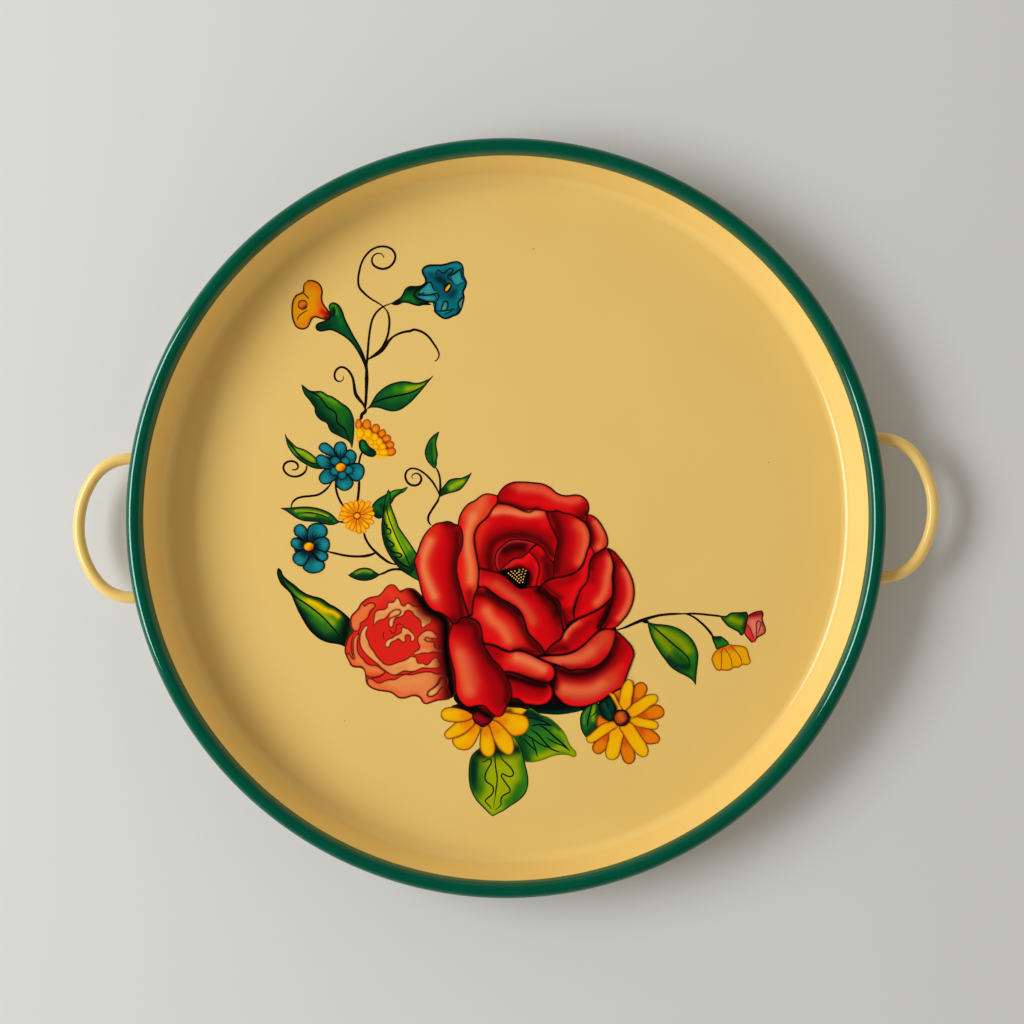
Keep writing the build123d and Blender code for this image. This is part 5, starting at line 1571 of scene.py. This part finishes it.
def paintOrangeDaisy():
    work = newPainting(wildPalette, level=4)
    centre = np.array([-84.3, 3.5])
    for layer, (count, reach, wide, first, base) in enumerate(
            ((10, 10.1, 1.35, 0.12, "gold"), (10, 9.4, 1.3, 0.44, "honey"))):
        for k in range(count):
            angle = first + 2 * math.pi * (k + 0.12 * math.sin(2.3 * k)) / count
            axis = np.array([math.cos(angle), math.sin(angle)])
            side = np.array([-axis[1], axis[0]])
            length = reach * (1 + 0.09 * math.sin(1.7 * k + 2 * layer))
            shape = xy(0.1,0, 0.45,0.7, 0.8,1.0, 0.95,0.75, 1.0,0.0, 0.95,-0.75, 0.8,-1.0, 0.45,-0.7)
            outline = [tuple(centre + axis * a * length + side * b * wide) for a, b in shape]
            inner, outer = centre + axis * 2, centre + axis * 0.5 * length
            base = "sun" if k % 3 == 1 else base
            addBlob(work, outline, base, touches=[
                ("orange", [tuple(inner), tuple(outer)], 1.0, 0.7 if layer else 0.5)],
                rim=("orange", 0.35, 0.9), ink=0.22 if layer else None, inkName="rust",
                dome=0.4, rise=0.3)
        work["level"] += 1
    addBlob(work, disc(centre, 1.9), "sun", rim=("rust", 0.4, 0.8), ink=0.5, inkName="umber",
            dome=3.0)
    return finishPainting(work, "painted_daisy_small")


def paintTrumpets():
    work = newPainting(wildPalette, level=2)
    horn = xy(-95.4,116.6, -96.3,115.2, -98,114.9, -100,115.2, -103,116.3, -105.5,116.7, -107,115.6,
        -108,113.5, -109.3,111.2, -111,110.2, -113.5,110.2, -115.7,111.5, -117,114, -117.7,117,
        -117.9,120.5, -117.6,124, -116.8,127, -115.3,129, -113,130.1, -111.2,130.8, -111.2,133,
        -110.6,135.5, -109,137, -107.2,137.4, -104.5,136.7, -102.2,135.2, -101,133, -100.6,130.5,
        -101,127.5, -100.8,125.3, -99.5,122.5, -97.5,120)
    addBlob(work, horn, "amber", touches=[
        ("orange", xy(-108,135.6, -103,133.6, -102,127, -103,122), 2.2, 0.8),
        ("flame", xy(-102,124, -101,120.6, -103,118), 2.0, 0.8),
        ("orange", xy(-114,112.6, -109.4,113.6, -106,118), 1.8, 0.7),
        ("scarlet", xy(-100.6,119.6, -98.4,117), 1.8, 0.95),
        ("umber", xy(-97.4,118.8, -96.4,116, -99,115.6), 1.4, 1.0),
        ("rust", xy(-104,116.6, -107,116), 0.8, 0.8)],
        rim=("umber", 0.55, 0.8), ink=0.65, inkName="umber")
    eye = disc((-111.8, 123.7), 2.6)
    addBlob(work, eye, "orange", touches=[("umber", xy(-110,122.6, -111.6,121.4), 0.9, 0.9)],
            rim=("umber", 0.35, 0.8), ink=0.5, inkName="umber")
    addLine(work, xy(-111.3,130.5, -110,129, -108.2,127.1), 0.6, "umber")
    addLine(work, xy(-115.1,114.8, -114.8,116.3, -113,118.3, -110.6,119.8, -109.2,120.5), 0.5, "umber")
    calyx = (xy(-76.6,82, -77.6,88, -79,92, -81.5,97, -84,100.8, -87,104, -90,106.2, -93.5,108.2,
        -96,109.2, -99,109, -102,108.6, -104,109.3, -104.7,110.9),
             xy(-76.6,82, -76.4,88, -77.6,92.5, -79.2,97, -81.5,101.5, -84,106, -86.4,111, -88.2,115,
                 -89.4,118.7, -90.5,121.5, -92.4,123.7, -94.6,124.5, -96.5,123.6, -97,121.8, -96.4,120,
                 -96.2,117.6, -97.2,115.4, -98.6,114.5, -101,113.6, -103.6,112.7, -104.7,110.9))
    calyxOutline = calyx[0] + calyx[1][-2:0:-1]
    addBlob(work, calyxOutline, "deep", touches=[
        ("jade", xy(-90,112, -86,105), 2.2, 0.6), ("leafy", xy(-91.4,117.6, -90,112.6), 1.6, 0.6),
        ("bright", xy(-96,121.4, -95,123.2, -93,121.6, -92.6,118), 0.9, 0.95),
        ("pine", xy(-103,110.9, -97.6,111.6), 1.9, 0.9),
        ("black", xy(-94.7,121.4, -94,119.6, -95,117), 0.65, 1.0),
        ("black", xy(-80,95, -77.4,88), 1.6, 0.8)],
        rim=("black", 0.6, 0.9), ink=0.55, inkName="black")
    bell = xy(-48.8,127.6, -47.4,129.9, -45,131.6, -43,133.2, -41.8,134.5, -41.8,136.5, -43,139,
        -43.6,141, -42.6,142.8, -40,144, -36.5,144.1, -32.5,144, -29,144.7, -26,145.5, -23.5,145.7,
        -21.3,144.4, -20.4,142, -20.5,138.5, -19.8,136, -18.9,134, -19.6,131.2, -20.9,128.5,
        -20.5,125.5, -21.3,122, -22.5,118.5, -24.5,116, -27,115.2, -29.5,114, -31.5,113.8, -34,115,
        -36,116.8, -37.2,118, -36.8,120.5, -36.7,122.6, -38,123.4, -41,123.4, -43.5,124.2, -46,125.5)
    addBlob(work, bell, "teal", touches=[
        ("sea", xy(-39,138, -33,138, -30,139), 2.6, 0.8),
        ("abyss", xy(-34.6,136, -31.4,134, -30.4,132), 2.2, 0.95),
        ("sea", xy(-38,132, -33,128, -27,127), 3.0, 0.7),
        ("abyss", xy(-27.6,127, -25.6,129), 1.8, 0.6),
        ("cyan", xy(-41,141.6, -34,142.6, -26,144, -23,142.6), 1.3, 0.5),
        ("cyan", xy(-34,122, -33,117), 2.0, 0.5), ("cyan", xy(-22,129, -23,125), 1.4, 0.4)],
        rim=("abyss", 0.7, 0.9), ink=0.75, inkName="black")
    folds = [(xy(-27.4,137.8, -25,139, -22.4,140.7, -21.8,138.4, -21,136, -19.8,134.3, -22,133.2,
        -24.5,132.1, -26,133.4), "cyan", "mist"),
             (xy(-47.4,128.9, -44.5,130.9, -42,133, -40,134.6, -38.6,134, -38.2,132, -37.3,130.2,
                 -35.4,128.9, -37,127.6, -41,127.4, -45,128), "cyan", "mist"),
             (xy(-47.6,127, -44,127.2, -40,127.2, -36.6,126.8, -36.6,124, -38,123.6, -41,123.8,
                 -44,124.8), "cyan", "mist"),
             (xy(-33.6,118.5, -32.6,121.5, -31.4,123.3, -30.1,122.8, -30,120.5, -30.3,118.7), "mist",
                 "cyan"),
             (xy(-20.8,125.2, -22.6,123.8, -23.7,121.8, -23,119.8, -22.2,119, -21.5,122), "mist",
                 "mist")]
    for outline, base, light in folds:
        middle = tuple(np.mean(outline, axis=0))
        addBlob(work, outline, base, touches=[(light, [middle], 1.5, 0.6)], rim=("sea", 0.5, 0.9),
                ink=0.35, inkName="abyss", rise=0)
    work["level"] += 1
    for route, width in (
            (xy(-35.4,138.4, -35.6,140.4, -34.6,141.4, -33.4,140.3, -32,139.4, -30.5,140, -29,141.4,
                -27.3,142, -26.1,141, -27.5,139.4, -29.4,137.5, -29.2,136.6, -27.6,135.4, -26.4,133.4),
                0.65),
            (xy(-20.8,141.9, -24,140.4, -26.5,138.8, -29.3,137.2), 0.6),
            (xy(-21.5,141, -21.7,138.5, -21,136.2), 0.45),
            (xy(-43.4,131.4, -41,134, -39.5,134.6, -38.4,133.4, -37.9,131.2), 0.7),
            (xy(-48,128.3, -45,127.8, -42.8,128.9), 0.7),
            (xy(-44,126.9, -40,127.3, -36,128, -34.8,127.5, -34.6,126, -35.8,124, -36.6,122), 0.6),
            (xy(-34,118, -32.8,121, -31.3,123.5, -30,123.3, -29.6,121, -30.3,118.7), 0.6),
            (xy(-37,118.6, -34,118, -31,118.3, -28,118.6, -26.3,119.2, -25.6,118), 0.6),
            (xy(-31.8,115.9, -29.4,117, -27,118.2), 0.5),
            (xy(-20.8,125.8, -22.5,124.6, -23.9,122.4, -23.8,120, -25,117.8), 0.6),
            (xy(-25.4,116.4, -23.6,118, -22.6,119.8), 0.4)):
        addLine(work, route, width, "black")
    eye = xy(-31.3,128.8, -30.2,128.7, -28.6,130, -27.6,131.8, -27.6,133.2, -28.6,133.4, -30,132.4,
        -31.2,130.6)
    addBlob(work, eye, "sun", touches=[("honey", [(-30.6, 129.6)], 1.0, 0.8)],
            rim=("black", 0.3, 0.6), ink=1.0, inkName="black")
    calyx = xy(-61.8,123, -59,124.6, -56,126.4, -54.6,128.6, -53.3,131, -51.3,132.3, -48,132.3,
        -44.5,132.6, -42.6,133.6, -46,130.6, -48.7,128.3, -47.4,125.6, -43.5,124, -41,122.7, -39,121.9,
        -41.5,121.8, -43.5,122, -46,121.5, -49,122.2, -52,123.3, -55,123.6, -57.5,122.6, -60,122.3)
    tip = 14  # the outline's point where both edges meet
    addSkin(work, calyx[:tip + 1], calyx[:1] + calyx[:tip - 1:-1], "deep", touches=[
        ("leafy", xy(-53.6,125.6, -50.6,126, -49,124), 1.7, 0.7),
        ("black", xy(-51,131, -47,131.6), 1.4, 0.8), ("black", xy(-60,123, -57,124), 1.2, 0.8),
        ("black", xy(-45,122.4, -41,122.4), 0.9, 0.9)],
        rim=("black", 0.6, 0.9), ink=0.5, inkName="black")
    return finishPainting(work, "painted_trumpets")


paintWildLeaves()
paintBlueFlowers()
paintPompon()
paintOrangeDaisy()
paintTrumpets()


# stage, light and camera
stage = dict(
    floor="#d2d9df", size=16.0, fibre=900.0,  # metres across, and paper fibres to a metre
    window=dict(place=(-2.0, 0.2, 1.42), size=(1.9, 0.9), power=54.5, tint="#fffefc"),
    sky="#fff0dc",
    # strength at the horizon and overhead, then as glossy surfaces see it, dim over the lens
    horizon=(1.3, 0.4), zenith=(0.31, 0.03),
)
camera = dict(
    lens=63.65, sensor=36.0,  # mm
    above=1.0,  # metres over the middle of the edge
    aside=3.36 * mm, up=3.35 * mm,  # metres from the middle of the view to the tray's middle
    roll=-1.55,  # degrees
)


def makeStage():
    side = stage["size"] / 2
    mesh = bpy.data.meshes.new("stage_floor")
    corners = [(-side, -side, 0), (side, -side, 0), (side, side, 0), (-side, side, 0)]
    mesh.from_pydata(corners, [], [(0, 1, 2, 3)])
    material, tree = newMaterial("stage_paper")
    where = addNode(tree, "ShaderNodeTexCoord").outputs["Object"]
    fibre = addNode(tree, "ShaderNodeTexNoise", {"Scale": stage["fibre"], "Detail": 2.0},
                    {"Vector": where})
    bump = addNode(tree, "ShaderNodeBump", {"Strength": 0.05, "Distance": 0.1 * mm},
                   {"Height": fibre.outputs["Fac"]})
    shader = addNode(tree, "ShaderNodeBsdfPrincipled",
                     {"Base Color": linear(stage["floor"]), "Roughness": 0.8},
                     {"Normal": bump.outputs[0]})
    finishMaterial(tree, shader)
    mesh.materials.append(material)
    floor = bpy.data.objects.new("stage_floor", mesh)
    bpy.context.collection.objects.link(floor)


def makeLights():
    # a window that faces the tray, and a sky whose strength falls evenly from the horizon to
    # 45 degrees up
    window = stage["window"]
    data = bpy.data.lights.new("window", "AREA")
    data.shape, data.energy = "RECTANGLE", window["power"]
    data.size, data.size_y = window["size"]
    data.color = linear(window["tint"])[:3]
    lamp = bpy.data.objects.new("window", data)
    lamp.location = window["place"]
    lamp.rotation_euler = (-lamp.location).to_track_quat("-Z", "Y").to_euler()
    bpy.context.collection.objects.link(lamp)
    world = bpy.data.worlds.new("soft_sky")
    world.use_nodes = True
    tree = world.node_tree
    tree.nodes.clear()
    ray = addNode(tree, "ShaderNodeLightPath")
    horizon, zenith = (
        addNode(tree, "ShaderNodeMapRange", {"To Min": stage[end][0], "To Max": stage[end][1]},
                {"Value": ray.outputs["Is Glossy Ray"]}) for end in ("horizon", "zenith"))
    where = addNode(tree, "ShaderNodeTexCoord").outputs["Generated"]
    height = addNode(tree, "ShaderNodeSeparateXYZ", links={"Vector": where})
    power = addNode(tree, "ShaderNodeMapRange",
                    {"From Min": 0.0, "From Max": 0.7},
                    {"Value": height.outputs["Z"], "To Min": horizon.outputs[0],
                     "To Max": zenith.outputs[0]})
    sky = addNode(tree, "ShaderNodeBackground", {"Color": linear(stage["sky"])},
                  {"Strength": power.outputs[0]})
    addNode(tree, "ShaderNodeOutputWorld", links={"Surface": sky.outputs[0]})
    bpy.context.scene.world = world


def makeCamera():
    data = bpy.data.cameras.new("camera")
    data.lens, data.sensor_width, data.clip_start = camera["lens"], camera["sensor"], 0.01
    roll = math.radians(camera["roll"])
    holder = bpy.data.objects.new("camera", data)
    holder.location = (
        camera["aside"] * math.cos(roll) - camera["up"] * math.sin(roll),
        camera["aside"] * math.sin(roll) + camera["up"] * math.cos(roll),
        curlCentre[1] * mm + camera["above"],
    )
    holder.rotation_euler = (0, 0, roll)
    bpy.context.collection.objects.link(holder)
    bpy.context.scene.camera = holder
    bpy.context.scene.view_settings.view_transform = "Standard"


makeStage()
makeLights()
makeCamera()
print("stage, light and camera ready")
